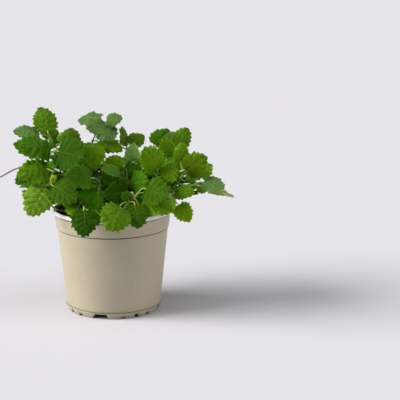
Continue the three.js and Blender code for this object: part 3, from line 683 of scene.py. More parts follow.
def ring_grid(rings, count):
    """Point numbers for rings that close on themselves and end in a pole at both ends. The rings' points come
    first, then the two poles."""
    index = np.arange(rings * count).reshape(rings, count)
    index = np.hstack([index, index[:, :1]])
    first = np.full((1, count + 1), rings * count)
    return np.vstack([first, index, first + 1])


def tube(path, radius, across, section, taper=0.15):
    """A section carried along a path: each point is path + radius * (section across * side + section up *
    normal), where side is the given direction with its part along the path taken out. Both ends close in a
    pole."""
    direction = unit(np.gradient(path, axis=0))
    side = unit(across - (across * direction).sum(axis=-1, keepdims=True) * direction)
    normal = np.cross(direction, side)
    wide = np.asarray(radius)[:, None, None] * section[None, :, :1] * side[:, None]
    high = np.asarray(radius)[:, None, None] * section[None, :, 1:] * normal[:, None]
    rings = path[:, None] + wide + high
    first = path[0] - direction[0] * radius[0] * taper
    last = path[-1] + direction[-1] * radius[-1] * taper
    points = np.concatenate([rings.reshape(-1, 3), [first, last]])
    return Shape(points, grid_triangles(ring_grid(len(path), len(section))))


def round_section(count):
    """Points on a circle of radius 1."""
    angle = np.arange(count) * 2 * np.pi / count
    return np.stack([np.cos(angle), np.sin(angle)], axis=1)


def square_section(count):
    """A square with rounded corners and hollowed sides: a circle whose radius swells four times round."""
    angle = np.arange(count) * 2 * np.pi / count
    swell = 1.08 + 0.16 * np.cos(4 * (angle - np.pi / 4)) + 0.03 * np.cos(8 * (angle - np.pi / 4))
    return round_section(count) * swell[:, None]


def vein_phase(t, s):
    """A whole number on each side vein, which runs out from the midrib and on towards the tip."""
    return VEINS * t * (1 - VEIN_RISE * np.abs(s)) + VEIN_START + VEIN_STAGGER * np.sign(s)


def swelling(leaf, t, s):
    """The blade's quilting: it is sunk along the midrib, the side veins and the cross veins between them, and
    swells in the cells that they leave."""
    phase = vein_phase(t, s)
    cell = CROSS_VEINS * np.abs(s) ** 0.9 + 0.5 * (np.floor(phase) % 2)
    between_veins = 1 - np.abs(2 * (phase % 1) - 1) ** 2.4
    between_crosses = 1 - CROSS_DEPTH * np.abs(2 * (cell % 1) - 1) ** 3
    from_midrib = 1 - np.exp(-((np.abs(s) * half_width(t) * leaf.width / MIDRIB_HOLLOW) ** 2))
    to_margin = 1 - MARGIN_FLATNESS * np.abs(s) ** 5
    return QUILT * leaf.width * between_veins * between_crosses * from_midrib * to_margin


def tooth_push(leaf, teeth, rows, side, number):
    """How far the margin stands out at each row: a saw of round-backed teeth that lean towards the tip, each
    with a depth of its own, small at the stalk and at the tip. The other side of the blade has its teeth
    elsewhere."""
    run = np.arange(rows + 1) * teeth / rows
    tooth, share = np.divmod(run + (0 if side > 0 else OTHER_SIDE), 1)
    saw = np.minimum((share / TOOTH_PEAK) ** 0.8, ((1 - share) / (1 - TOOTH_PEAK)) ** 0.9)
    own = 1 + 0.3 * np.sin(2.7 * tooth + 1.3 * number + side)
    fade = np.clip(run, 0, 1) * np.clip((teeth - run) / 0.8, 0, 1)
    return TOOTH_DEPTH * leaf.width * (own * saw - 0.45) * fade


def crumple(leaf, t, along, across):
    """Shallow dents of two sizes, by sine waves that cross, and none at the stalk."""
    number = leaf.number
    x = along / leaf.width * DENTS
    y = across / leaf.width * DENTS
    large = np.sin(1.1 * x + 0.7 * y + number) * np.sin(0.8 * y - 0.5 * x + 2 * number)
    small = np.sin(2.9 * x - 1.7 * y + 3 * number) * np.sin(2.3 * y + 1.9 * x + number)
    return CRUMPLE * leaf.width * (large + 0.45 * small) * np.clip(4 * t, 0, 1)


def blade(leaf):
    """A toothed, quilted blade as a closed lens. Its rows are spaced evenly along the margin so that each
    tooth gets the same number. The margin is pushed out along its own normal by the teeth, and the push fades
    inwards as s^4. The two faces share the margin and both ends."""
    number = leaf.number
    teeth = int(np.clip(round(4 + leaf.width * 0.18), *TEETH))
    rows = teeth * (YOUNG_ROWS if leaf.young else ROWS_PER_TOOTH)
    columns = 2 * int(np.clip(round(leaf.width * 0.43), *COLUMNS))
    fine = np.linspace(0, 1, EDGE_STEPS)
    edge = np.array(flat_form(leaf, fine, 1.0)[:2])
    run = np.concatenate([[0], np.cumsum(np.hypot(*np.diff(edge, axis=1)))])
    t = np.interp(np.linspace(0, run[-1], rows + 1), run, fine)
    tangent = np.gradient(np.array(flat_form(leaf, t, 1.0)[:2]), axis=1)
    tangent /= np.maximum(np.hypot(*tangent), 1e-9)
    s = np.linspace(-1, 1, columns + 1)[None]
    right, left = (tooth_push(leaf, teeth, rows, side, number)[:, None] for side in (1, -1))
    push = np.where(s > 0, right, left)
    t = t[:, None]
    along, across, height = flat_form(leaf, t, s)
    along = along - push * tangent[1][:, None] * s**4
    across = across + push * tangent[0][:, None] * s**4 * np.sign(s)
    ruffle = RUFFLE * leaf.width * s**4 * np.sin(0.55 * teeth * np.pi * t + number + s)
    twist = TWIST * leaf.length * np.sin(2.5 * t + 1.7 * number) * s * np.abs(s) * half_width(t)
    dents = crumple(leaf, t, along, across)
    height = height + swelling(leaf, t, s) + ruffle * np.clip(4 * t * (1 - t), 0, 1) + twist + dents
    thick = 0.5 * THICKNESS * np.sqrt(np.clip(1 - s * s, 0, 1)) * np.ones_like(t)
    index = np.arange((rows + 1) * (columns + 1)).reshape(rows + 1, columns + 1)
    index[0] = index[0, 0]
    index[-1] = index[-1, 0]
    under = index + index.size
    under[0], under[-1], under[:, 0], under[:, -1] = index[0], index[-1], index[:, 0], index[:, -1]
    triangles = np.concatenate([grid_triangles(index), grid_triangles(under)[:, ::-1]])
    faces = [leaf.point(along, across, height + side * thick) for side in (1, -1)]
    points = np.concatenate(faces).reshape(-1, 3)
    flat = np.ones_like(along)
    veins = np.stack([vein_phase(t, s) * flat, np.abs(across), 0 * flat], axis=-1)
    spot = np.stack([along, across, number * SPOT_STEP * flat], axis=-1)
    upper = np.repeat([1.0, 0.0], along.size)
    values = {
        "veins": np.tile(veins.reshape(-1, 3), (2, 1)),
        "spot": np.tile(spot.reshape(-1, 3), (2, 1)),
        "tint": np.column_stack([np.tile(linear(leaf.colour), (2 * along.size, 1)), upper]),
    }
    return kept(Shape(points, triangles, values))


def kept(shape):
    """The shape without the points that no triangle uses."""
    used, renumbered = np.unique(shape.triangles, return_inverse=True)
    values = {key: value[used] for key, value in shape.values.items()}
    return Shape(shape.points[used], renumbered.reshape(-1, 3), values)


def stalk(leaf):
    """The leaf stalk as a tube that thins out and runs on under the blade as its midrib."""
    out_steps, rib_steps, sides, wide, rib_wide = (6, 5, 6, 0.6, 0.5) if leaf.young else (12, 12, 8, 1, 1)
    out = leaf.stalk.at(np.linspace(0, 1, out_steps))
    t = np.linspace(0.04, 0.93, rib_steps)
    along, across, height = flat_form(leaf, t, 0 * t)
    rib = (0.5 * (1 - t) ** 0.7 + 0.12) * rib_wide
    under = leaf.point(along, across, height + crumple(leaf, t, along, across) - 0.5 * THICKNESS - 0.6 * rib)
    radius = np.concatenate([np.linspace(0.5, 0.4, out_steps) * PETIOLE_WIDTH * wide, rib])
    return tube(np.concatenate([out, under]), radius, leaf.cross[None], round_section(sides))


def stem_tube(stem, width):
    """The stem as a square tube that thins out to its tip and swells at the leaf nodes."""
    share = np.linspace(0, 1, 10 * (stem.curve.count - 1) + 1)
    path = stem.curve.at(share)
    lean = path[-1] - path[0]
    across = unit(np.array([[-lean[1], lean[0], 0.0]]))
    run = np.concatenate([[0], np.cumsum(np.linalg.norm(np.diff(path, axis=0), axis=1))])
    radius = 0.5 * width * (1.12 - 0.42 * run / run[-1])
    for node in {leaf.node for leaf in stem.leaves}:
        off = (run - np.interp(node, share, run)) / NODE_LENGTH
        radius = radius * (1 + NODE_SWELL * np.exp(-(off**2)))
    return tube(path, radius, across, square_section(12))


def twig_tube(twig):
    """The dry twig: a round tube with knots, which wanders by sine waves and swells to a withered, rolled
    leaf near its end. The leaf's radius rises and falls as sin(pi x)^0.7 along it."""
    share = np.linspace(0, 1, 90)
    path = twig.curve.at(share)
    knots = sum(np.exp(-(((share - at) / 0.012) ** 2)) for at in TWIG_KNOTS)
    leaf = np.sin(np.pi * np.clip((share - TWIG_LEAF[0]) / TWIG_LEAF[1], 0, 1)) ** 0.7
    bow = TWIG_BOW * np.sin(np.pi * np.clip((share - 0.72) / 0.28, 0, 1))
    wander = np.stack([0 * share, 0.35 * np.sin(23 * share), 0.35 * np.cos(31 * share) + bow], axis=1)
    path = path + wander * np.clip(share * 3 - 1, 0, 1)[:, None]
    radius = 0.5 * TWIG_WIDTH * (1.1 - 0.55 * share + 0.35 * knots + 0.45 * leaf)
    return tube(path, radius, np.array([[0.0, 1.0, 0.3]]), round_section(10))


def spread(profile, angles):
    """The radius and height of each point of a profile, repeated for every angle."""
    return [column[:, None] * np.ones_like(angles) for column in np.asarray(profile, float).T]


def lathe(radius, height, low, high, angles):
    """Rings round the pot's axis at each radius and height, closed by a point on the axis at both ends."""
    rings = np.stack([radius * np.cos(angles), radius * np.sin(angles), height], axis=-1)
    points = np.concatenate([rings.reshape(-1, 3), [[0, 0, low], [0, 0, high]]])
    return Shape(points, grid_triangles(ring_grid(*radius.shape)))


def arc(centre, radius, start, end, steps):
    """Points of a profile on an arc between two angles in degrees."""
    angle = np.radians(np.linspace(start, end, steps))
    return [(centre[0] + radius * math.cos(a), centre[1] + radius * math.sin(a)) for a in angle]


# ---------------------------------------------------------------- pot and soil


def wall_radius(z):
    """The outside of the tapering wall."""
    return WALL_FOOT_RADIUS + WALL_SLOPE * z


def inner_radius(z):
    """The inside of the wall, which leans out more inside the collar."""
    return wall_radius(z) - WALL + max(0, z - COLLAR_Z) * COLLAR_FLARE


def notches():
    """Every notch in the foot as its angle in degrees and its three sizes."""
    for quarter in range(4):
        at = -90 - FIRST_NOTCH - 90 * quarter
        yield at, LARGE_NOTCH
        for after, sizes in SMALL_NOTCHES.items():
            yield at - after, sizes


def notch_height(angles):
    """How high the foot is cut away at each angle: each notch rises straight from its width to its top."""
    height = np.zeros_like(angles)
    for at, (width, top, depth) in notches():
        off = np.abs((np.degrees(angles) - at + 180) % 360 - 180) * np.pi / 180 * FOOT_RADIUS
        height = np.maximum(height, depth * np.clip((width / 2 - off) / (width / 2 - top / 2), 0, 1))
    return height


def pot_angles():
    """Even angles and the corners of every notch."""
    corners = []
    for at, (width, top, _) in notches():
        for half in (-width / 2, -top / 2, width / 2, top / 2):
            corners.append(at + math.degrees(half / FOOT_RADIUS))
    even = np.linspace(0, 360, POT_SIDES, endpoint=False)
    corners = np.array(corners) % 360
    even = even[np.abs(even[:, None] - corners[None]).min(axis=1) > 0.5]
    return np.radians(np.sort(np.concatenate([even, corners])))


def pot_shape():
    """The pot's profile turned about its axis, with its points listed from the middle of the floor's
    underside, out over the foot, the wall and the lip, and back down to the floor. The foot is cut away by
    the notches."""
    foot = wall_radius(FOOT_Z)
    inside = FOOT_RADIUS - FOOT_THICKNESS
    groove = wall_radius(COLLAR_Z)
    collar = groove + COLLAR_STEP
    under_lip = RIM_RADIUS - LIP_FLARE
    floor = BASE_Z + BASE_THICKNESS
    profile = [
        (inside - 0.2, BASE_Z),
        (inside + 0.3, BASE_Z - 0.4),
        (inside, 0.4),
        (inside + 0.4, 0),
        (FOOT_RADIUS - 0.4, 0),
        (FOOT_RADIUS, 0.4),
        (foot + 0.75, FOOT_Z - 0.7),
        (foot + 0.7, FOOT_Z - 0.4),
        (foot - 0.4, FOOT_Z - 0.25),
        (foot - 0.4, FOOT_Z + 0.15),
        (foot + 0.3, FOOT_Z + 0.4),
        *[(wall_radius(z), z) for z in np.linspace(FOOT_Z + 2, COLLAR_Z - 1.2, 9)],
        (groove - 0.1, COLLAR_Z - 0.85),
        (groove - 0.7, COLLAR_Z - 0.55),
        (groove - 0.7, COLLAR_Z + 0.05),
        (collar - 0.35, COLLAR_Z + 0.1),
        (collar - 0.05, COLLAR_Z + 0.4),
        (collar, COLLAR_Z + 0.9),
        *[(between((collar, under_lip), share), between((COLLAR_Z + 1, LIP_Z - 0.9), share))
          for share in (0.25, 0.5, 0.75, 1)],
        (under_lip + 0.05, LIP_Z - 0.5),
        (under_lip + 0.35, LIP_Z - 0.2),
        (RIM_RADIUS - 0.9, LIP_Z + 0.1),
        *arc((RIM_RADIUS - 0.9, LIP_Z + 1.0), 0.9, -70, 40, 7),
        (RIM_RADIUS - 1.2, POT_HEIGHT - 0.75),
        *arc((RIM_RADIUS - 2.2, POT_HEIGHT - 0.9), 0.9, 50, 180, 7),
        *[(inner_radius(z), z) for z in (COLLAR_Z + 12, COLLAR_Z + 3, COLLAR_Z - 2, floor + 2)],
        (inner_radius(floor) - 1, floor),
    ]
    angles = pot_angles()
    radius, height = spread(profile, angles)
    at_foot = height < BASE_Z - 0.2
    height = np.where(at_foot, np.maximum(height, notch_height(angles) + 0.5 * height), height)
    return lathe(radius, height, BASE_Z, floor, angles)


def ripple(x, y, size, seed):
    """Soft noise: twelve sine waves in different directions, of about the given wavelength, added up."""
    angle = np.arange(12) * 2.399 + seed
    stretch = 2 * np.pi / size * (0.75 + 0.5 * np.abs(np.sin(7 * angle + seed)))
    phase = 5 * np.sin(13 * angle + 3 * seed)
    waves = np.sin((x[..., None] * np.cos(angle) + y[..., None] * np.sin(angle)) * stretch + phase)
    return waves.sum(axis=-1) / 4


def soil_top(x, y):
    """The soil's surface: a low crown with lumps of four sizes."""
    radius = np.hypot(x, y)
    crown = SOIL_EDGE_Z + SOIL_CROWN * (1 - (radius / wall_radius(SOIL_EDGE_Z)) ** 2) - 0.4
    lumps = sum(high * ripple(x, y, size, size) for size, high in SOIL_LUMPS)
    return crown + lumps


def soil_shape():
    """The peat: rings up the inside of the pot, then smaller and smaller rings over its top."""
    floor = BASE_Z + BASE_THICKNESS + GAP
    sides = [(inner_radius(z) - GAP - 0.3, z) for z in (floor + 3, COLLAR_Z - 2, SOIL_EDGE_Z - 5)]
    below = [(inner_radius(floor) - 1.2 - GAP, floor), *sides]
    top = [(radius, 0) for radius in np.linspace(inner_radius(SOIL_EDGE_Z) - 0.05, 1.0, SOIL_RINGS)]
    angles = np.linspace(0, 2 * np.pi, SOIL_SIDES, endpoint=False)
    radius, height = spread([*below, *top], angles)
    height[len(below):] = soil_top(radius * np.cos(angles), radius * np.sin(angles))[len(below):]
    return lathe(radius, height, floor, float(soil_top(np.zeros(1), np.zeros(1))[0]), angles)


def twenty_sided():
    """The corners and faces of a lump with twenty equal sides. Before its corners are brought to a distance
    of 1 its edges are 2 long, and three corners that far apart make a face, which is turned outwards."""
    golden = (1 + 5**0.5) / 2
    corners = np.array([np.roll((inner, outer * golden, 0), turn)
                        for turn in range(3) for outer in (1, -1) for inner in (-1, 1)])
    near = np.linalg.norm(corners[:, None] - corners[None], axis=-1) < 2.1
    faces = [three for three in itertools.combinations(range(12), 3)
             if all(near[pair] for pair in itertools.combinations(three, 2))]
    out = [np.linalg.det(corners[list(three)]) > 0 for three in faces]
    return unit(corners), np.array([three if right else three[::-1] for three, right in zip(faces, out)])


def crumbs(count, sizes, random):
    """Loose crumbs on the soil: twenty-sided lumps, squashed and pulled out of shape, partly sunk in."""
    corners, faces = twenty_sided()
    radius = CRUMB_REACH * np.sqrt(random.random(count))
    angle = 2 * np.pi * random.random(count)
    size = sizes[0] + (sizes[1] - sizes[0]) * random.random(count) ** 3
    size = np.minimum(size, (inner_radius(SOIL_EDGE_Z) - 0.2 - radius) / 1.4).clip(0.2)
    turn = np.linalg.qr(random.standard_normal((count, 3, 3)))[0]
    turn = turn * np.sign(np.linalg.det(turn))[:, None, None]
    stretch = 0.6 + 0.8 * random.random((count, 1, 3))
    lump = corners * stretch * (0.8 + 0.4 * random.random((count, 12, 1))) * size[:, None, None]
    x, y = radius * np.cos(angle), radius * np.sin(angle)
    centre = np.stack([x, y, soil_top(x, y) + 0.25 * size], axis=-1)
    points = lump @ turn + centre[:, None]
    triangles = faces[None] + 12 * np.arange(count)[:, None, None]
    return Shape(points.reshape(-1, 3), triangles.reshape(-1, 3))


# ---------------------------------------------------------------- materials


def linear(colour):
    """A colour given as 0 to 255, as light."""
    value = np.asarray(colour, float) / 255
    return np.where(value <= 0.04045, value / 12.92, ((value + 0.055) / 1.055) ** 2.4)


class Value:
    """A number that a node puts out. Sums, differences and products of values are Math nodes."""

    def __init__(self, graph, socket):
        self.graph = graph
        self.socket = socket

    def __add__(self, other):
        return self.graph.math("ADD", self, other)

    def __sub__(self, other):
        return self.graph.math("SUBTRACT", self, other)

    def __rsub__(self, other):
        return self.graph.math("SUBTRACT", other, self)

    def __mul__(self, other):
        return self.graph.math("MULTIPLY", self, other)


class Graph:
    """Adds nodes to a tree. An input is a value, a socket of another node, a plain number or vector, or a
    colour: three numbers from 0 to 255, or four as light."""

    def __init__(self, tree):
        self.tree = tree

    def feed(self, socket, given):
        given = given.socket if isinstance(given, Value) else given
        if isinstance(given, bpy.types.NodeSocket):
            self.tree.links.new(given, socket)
        elif socket.type == "RGBA" and len(given) == 3:
            socket.default_value = (*linear(given), 1.0)
        else:
            socket.default_value = given

    def node(self, kind, inputs=None, **settings):
        made = self.tree.nodes.new("ShaderNode" + kind)
        for name, value in settings.items():
            setattr(made, name, value)
        for key, value in (inputs or {}).items():
            self.feed(made.inputs[key], value)
        return made

    def value(self, output, kind, inputs=None, **settings):
        """One output of a new node, as a value."""
        return Value(self, self.node(kind, inputs, **settings).outputs[output])

    def math(self, operation, *values, clamp=False):
        return self.value(0, "Math", dict(enumerate(values)), operation=operation, use_clamp=clamp)

    def mix(self, share, low, high, blend="MIX"):
        made = self.node("Mix", {0: share, 6: low, 7: high}, data_type="RGBA", blend_type=blend)
        return made.outputs[2]

    def span(self, value, start, end, low=0.0, high=1.0):
        """Low up to the start and high from the end on, with a smooth step between them."""
        inputs = {"Value": value, "From Min": start, "From Max": end, "To Min": low, "To Max": high}
        return self.value(0, "MapRange", inputs, interpolation_type="SMOOTHSTEP")

    def fade(self, value, start, end):
        """1 up to the start and 0 from the end on."""
        return self.span(value, start, end, 1.0, 0.0)

    def band(self, value, middle, start, end):
        """1 within the start of the middle and 0 beyond the end."""
        return self.fade(self.math("ABSOLUTE", value - middle), start, end)

    def noise(self, place, scale, detail=3.0, roughness=0.55):
        inputs = {"Vector": place, "Scale": scale, "Detail": detail, "Roughness": roughness}
        return self.value("Fac", "TexNoise", inputs)

    def mottle(self, place, scale, fine, contrast):
        made = self.node("Group", node_tree=bpy.data.node_groups["mottle"])
        for key, value in (("Place", place), ("Scale", scale), ("Fine", fine), ("Contrast", contrast)):
            self.feed(made.inputs[key], value)
        return Value(self, made.outputs["Value"])

    def cell_spots(self, place, scale, start, end):
        """A round spot in the middle of each cell of a random pattern."""
        cells = {"Vector": place, "Scale": scale, "Randomness": 1.0}
        return self.fade(self.value("Distance", "TexVoronoi", cells), start, end)

    def place(self):
        return self.node("TexCoord").outputs["Object"]

    def scaled(self, place, scale):
        return self.node("Mapping", {"Vector": place, "Scale": scale}).outputs[0]

    def height(self, place):
        """Millimetres above the floor."""
        return self.value("Z", "SeparateXYZ", {0: place}) * (1 / MM)

    def from_axis(self, place):
        """Millimetres from the pot's axis."""
        flat = self.node("VectorMath", {0: place, 1: (1.0, 1.0, 0.0)}, operation="MULTIPLY").outputs[0]
        return self.value("Value", "VectorMath", {0: flat}, operation="LENGTH") * (1 / MM)

    def attribute(self, name, output):
        return self.node("Attribute", attribute_name=name).outputs[output]


class Look(Graph):
    """A material with its Principled shader; constants are set on the shader's own sockets."""

    def __init__(self, name, **constants):
        self.material = bpy.data.materials.new(name)
        self.material.use_nodes = True
        super().__init__(self.material.node_tree)
        self.shader = self.tree.nodes["Principled BSDF"]
        for key, value in constants.items():
            self.shader.inputs[key.replace("_", " ")].default_value = value

    def complete(self, colour, bump=None, depth=None):
        """The material, with its colour and with bumps of the given depth in metres."""
        self.feed(self.shader.inputs["Base Color"], colour)
        if bump:
            made = self.node("Bump", {"Height": bump, "Distance": depth, "Strength": 1.0})
            self.feed(self.shader.inputs["Normal"], made.outputs["Normal"])
        return self.material


def add_mottle_group():
    """Mottling that the materials share: coarse and fine noise added up, spread about the middle by
    Contrast."""
    tree = bpy.data.node_groups.new("mottle", "ShaderNodeTree")
    tree.interface.new_socket("Place", in_out="INPUT", socket_type="NodeSocketVector")
    for name in ("Scale", "Fine", "Contrast"):
        tree.interface.new_socket(name, in_out="INPUT", socket_type="NodeSocketFloat")
    tree.interface.new_socket("Value", in_out="OUTPUT", socket_type="NodeSocketFloat")
    graph = Graph(tree)
    given = tree.nodes.new("NodeGroupInput").outputs
    result = tree.nodes.new("NodeGroupOutput")
    scale = Value(graph, given["Scale"])
    coarse = graph.noise(given["Place"], scale)
    fine = graph.noise(given["Place"], scale * given["Fine"])
    spread = (coarse * 0.65 + fine * 0.35 - 0.5) * given["Contrast"]
    graph.feed(result.inputs["Value"], graph.math("ADD", spread, 0.5, clamp=True))


def leaf_material():
    """Each blade has its own tint, from its tone and the painted light and shade that the tone carries. Veins
    are a little paler and sunken above and raised below, a net of fine veins lies between them, sunken and
    painted darker as shade in its creases, and the underside is paler and duller."""
    look = Look(
        "lemon_balm_leaf", Subsurface_Weight=0.6, Subsurface_Radius=(0.6, 1.0, 0.1), Subsurface_Scale=0.001,
        IOR=1.4, Specular_IOR_Level=0.14, Specular_Tint=(0.8, 1.0, 0.35, 1.0))
    spot = look.attribute("spot", "Vector")
    veins = look.attribute("veins", "Vector")
    phase = look.value("X", "SeparateXYZ", {0: veins})
    from_midrib = look.value("Y", "SeparateXYZ", {0: veins})
    tint = look.attribute("tint", "Color")
    upper = Value(look, look.attribute("tint", "Alpha"))
    side_vein = look.fade(look.math("PINGPONG", phase, 0.5), 0.015, 0.075)
    main = look.math("MAXIMUM", look.fade(from_midrib, 0.15, 0.7), side_vein * 0.6)
    cells = {"Vector": spot, "Scale": 0.5, "Randomness": 0.9}
    net = look.fade(look.value("Distance", "TexVoronoi", cells, feature="DISTANCE_TO_EDGE"), 0.0, 0.16)
    patches = look.mottle(spot, 0.09, 5.0, 2.4)
    grain = look.mottle(spot, 1.4, 3.0, 2.0)
    darker = look.mix(0.5, tint, (0.36, 0.48, 0.36, 1), "MULTIPLY")
    lighter = look.mix(0.5, tint, (1.55, 1.45, 1.2, 1), "MULTIPLY")
    colour = look.mix(patches, darker, lighter)
    colour = look.mix((1.0 - grain) * 0.3, colour, darker)
    # Painted shade: the creases of the fine net, which the bump sinks, are painted darker.
    colour = look.mix(net * 0.3, colour, darker)
    colour = look.mix(main * 0.17, colour, (148, 176, 62))
    below = look.mix(0.45, colour, (112, 142, 66))
    look.feed(look.shader.inputs["Roughness"], grain * 0.14 + 0.58 - upper * 0.16)
    sunk = main * 0.6 + net * 0.4
    height = sunk * (1.0 - upper * 2.0) + grain * 0.35
    return look.complete(look.mix(upper, below, colour), height, 0.0013)


def stem_material():
    """Green in the middle of the plant and pale yellow-green outside, streaked along its length, and flushed
    brown where it leaves the soil."""
    look = Look(
        "lemon_balm_stem", Subsurface_Weight=0.1, Subsurface_Radius=(0.8, 1.0, 0.3), Subsurface_Scale=0.001,
        Roughness=0.5, Sheen_Weight=0.15)
    place = look.place()
    streaks = look.mottle(look.scaled(place, (1.0, 1.0, 0.18)), 900.0, 3.0, 2.6)
    green = look.mix(streaks, (70, 108, 20), (112, 142, 44))
    pale = look.mix(streaks, (128, 158, 46), (184, 202, 98))
    colour = look.mix(look.span(look.from_axis(place), 30, 70), green, pale)
    low = look.span(look.height(place), SOIL_EDGE_Z - 0.5, SOIL_EDGE_Z + 19.5, 0.75, 0.0)
    return look.complete(look.mix(low, colour, (120, 96, 58)), streaks, 0.00015)


def twig_material():
    """A dry, grey-brown twig with lengthwise cracks."""
    look = Look("dry_twig", Roughness=0.85)
    cracks = look.mottle(look.scaled(look.place(), (0.25, 1.0, 1.0)), 1200.0, 3.0, 3.2)
    return look.complete(look.mix(cracks, (66, 62, 44), (132, 126, 100)), cracks, 0.0003)


def pot_material():
    """Beige moulded plastic: a faint mottle, fine scuffs round the wall, painted shade in the two grooves,
    under the lip and under the pot, peat on the inner wall, dust and peat specks, and a glossier lip painted
    pale and bluish as a painted reflection of the light."""
    look = Look("pot_plastic", IOR=1.46, Specular_IOR_Level=0.4)
    place = look.place()
    height = look.height(place)
    radius = look.from_axis(place)
    cloud = look.mottle(place, 30.0, 5.0, 1.6)
    scuffs = look.mottle(look.scaled(place, (1.0, 1.0, 14.0)), 60.0, 4.0, 2.4)
    colour = look.mix(cloud, (161, 152, 129), (169, 161, 138))
    colour = look.mix(look.span(scuffs, 0.62, 0.9) * 0.18, colour, (190, 182, 160))
    # Painted reflection: the lip is painted pale and bluish, as the light that it reflects; its lower
    # roughness further down is real gloss.
    lip = look.span(height, LIP_Z - 0.4, LIP_Z + 0.4)
    colour = look.mix(lip, colour, look.mix(cloud, (206, 202, 204), (222, 219, 224)))
    # Painted shade: dark brown is painted in the groove under the collar, along the fine line above the foot
    # and in a mottled band just under the lip, where shade falls.
    at_collar = look.band(height, COLLAR_Z - 0.3, 0.45, 0.8)
    at_foot = look.band(height, FOOT_Z - 0.05, 0.2, 0.5)
    under_lip = look.band(height, LIP_Z - 1, 0.4, 1.2) * look.span(cloud, 0.2, 0.7, 0.25, 0.75)
    painted_shade = look.math("MAXIMUM", at_collar * 0.85 + at_foot * 0.55, under_lip)
    colour = look.mix(painted_shade, colour, (66, 54, 40))
    # Painted shade: the underside of the floor and the insides of the notches in the foot are painted nearly
    # black.
    painted_shade_under_pot = look.fade(height, BASE_Z - 0.1, BASE_Z + 0.7)
    painted_shade_under_pot = painted_shade_under_pot * look.fade(radius, FOOT_RADIUS - 0.8, FOOT_RADIUS - 0.2)
    colour = look.mix(painted_shade_under_pot * 0.9, colour, (36, 29, 22))
    inner_wall = look.fade(radius - height * INSIDE_LEAN, *INSIDE_FOOT) * look.span(height, 98, 100)
    peaty = inner_wall * look.fade(height - scuffs * 1.2, *PEAT_TIDE)
    colour = look.mix(peaty, colour, look.mix(cloud, (38, 20, 14), (110, 74, 56)))
    speck = look.cell_spots(place, 420.0, 0.1, 0.2) * look.span(look.noise(place, 45.0), 0.56, 0.72)
    speck = speck * look.span(height, COLLAR_Z + 3.3, POT_HEIGHT, 0.1, 0.9)
    colour = look.mix(speck * 0.8, colour, (70, 54, 40))
    colour = look.mix(look.span(height, DUST_Z, 0, 0.0, 0.3) * cloud, colour, (138, 124, 100))
    look.feed(look.shader.inputs["Roughness"], look.span(scuffs, 0.2, 0.9, 0.42, 0.52) - lip * 0.2)
    return look.complete(colour, look.noise(place, 1500.0) + scuffs * 0.4, 0.000015)


def soil_material():
    """Dark peat: nearly black when damp, with brown crumbs and pale fibre flecks."""
    look = Look("peat", Roughness=0.95, Specular_IOR_Level=0.25)
    place = look.place()
    colour = look.mix(look.mottle(place, 260.0, 4.0, 3.0), (44, 24, 17), (132, 88, 66))
    rare = look.math("GREATER_THAN", look.noise(place, 300.0), 0.62)
    colour = look.mix(look.cell_spots(place, 700.0, 0.12, 0.24) * rare, colour, (138, 108, 74))
    return look.complete(colour, look.mottle(place, 700.0, 3.0, 3.0), 0.0008)


# ---------------------------------------------------------------- pieces


def put(name, shape, material, smooth=True):
    """Makes a mesh object from a shape, in metres, at the origin."""
    mesh = bpy.data.meshes.new(name)
    count = len(shape.triangles)
    mesh.vertices.add(len(shape.points))
    mesh.vertices.foreach_set("co", (shape.points * MM).astype(np.float32).ravel())
    mesh.loops.add(3 * count)
    mesh.loops.foreach_set("vertex_index", shape.triangles.astype(np.int32).ravel())
    mesh.polygons.add(count)
    mesh.polygons.foreach_set("loop_start", np.arange(0, 3 * count, 3, dtype=np.int32))
    mesh.polygons.foreach_set("use_smooth", np.full(count, smooth))
    mesh.update(calc_edges=True)
    for key, value in shape.values.items():
        kind, field = ("FLOAT_COLOR", "color") if value.shape[1] == 4 else ("FLOAT_VECTOR", "vector")
        attribute = mesh.attributes.new(key, kind, "POINT")
        attribute.data.foreach_set(field, value.astype(np.float32).ravel())
    mesh.materials.append(material)
    piece = bpy.data.objects.new(name, mesh)
    bpy.context.scene.collection.objects.link(piece)
    return piece


def dress(piece, node):
    """The piece stands in for a CAD node: it is attached to the root body and the node is hidden."""
    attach(piece, "root")
    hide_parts(node)


def drill(piece):
    """Cuts the drain holes through the pot's floor."""
    holes = []
    for i in range(DRAIN_HOLES):
        angle = 2 * math.pi * i / DRAIN_HOLES
        middle = np.array([DRAIN_RING * math.cos(angle), DRAIN_RING * math.sin(angle), 0.0])
        path = middle + np.array([[0, 0, BASE_Z - 2.0], [0, 0, BASE_Z + BASE_THICKNESS + 2.5]])
        radius = np.full(2, float(DRAIN_RADIUS))
        holes.append(tube(path, radius, np.array([[1.0, 0, 0]]), round_section(24), 0.0))
    cutter = put("drain_cutter", added(holes), piece.data.materials[0])
    cut = piece.modifiers.new("drain", "BOOLEAN")
    cut.operation = "DIFFERENCE"
    cut.solver = "EXACT"
    cut.object = cutter
    evaluated = piece.evaluated_get(bpy.context.evaluated_depsgraph_get())
    drilled = bpy.data.meshes.new_from_object(evaluated)
    piece.modifiers.clear()
    piece.data = drilled
    bpy.data.objects.remove(cutter)


def leaf_colour(leaf, random):
    """The leaf's tone from the table, which carries painted light and shade, or a drawn one, shifted a little
    lighter or darker.
    """
    if leaf.tone:
        return np.array(TONES[leaf.tone], float)
    tone = random.choice(YOUNG_TONES if leaf.young else RULE_TONES)
    return np.array(TONES[tone]) * (0.9 + 0.2 * random.random())


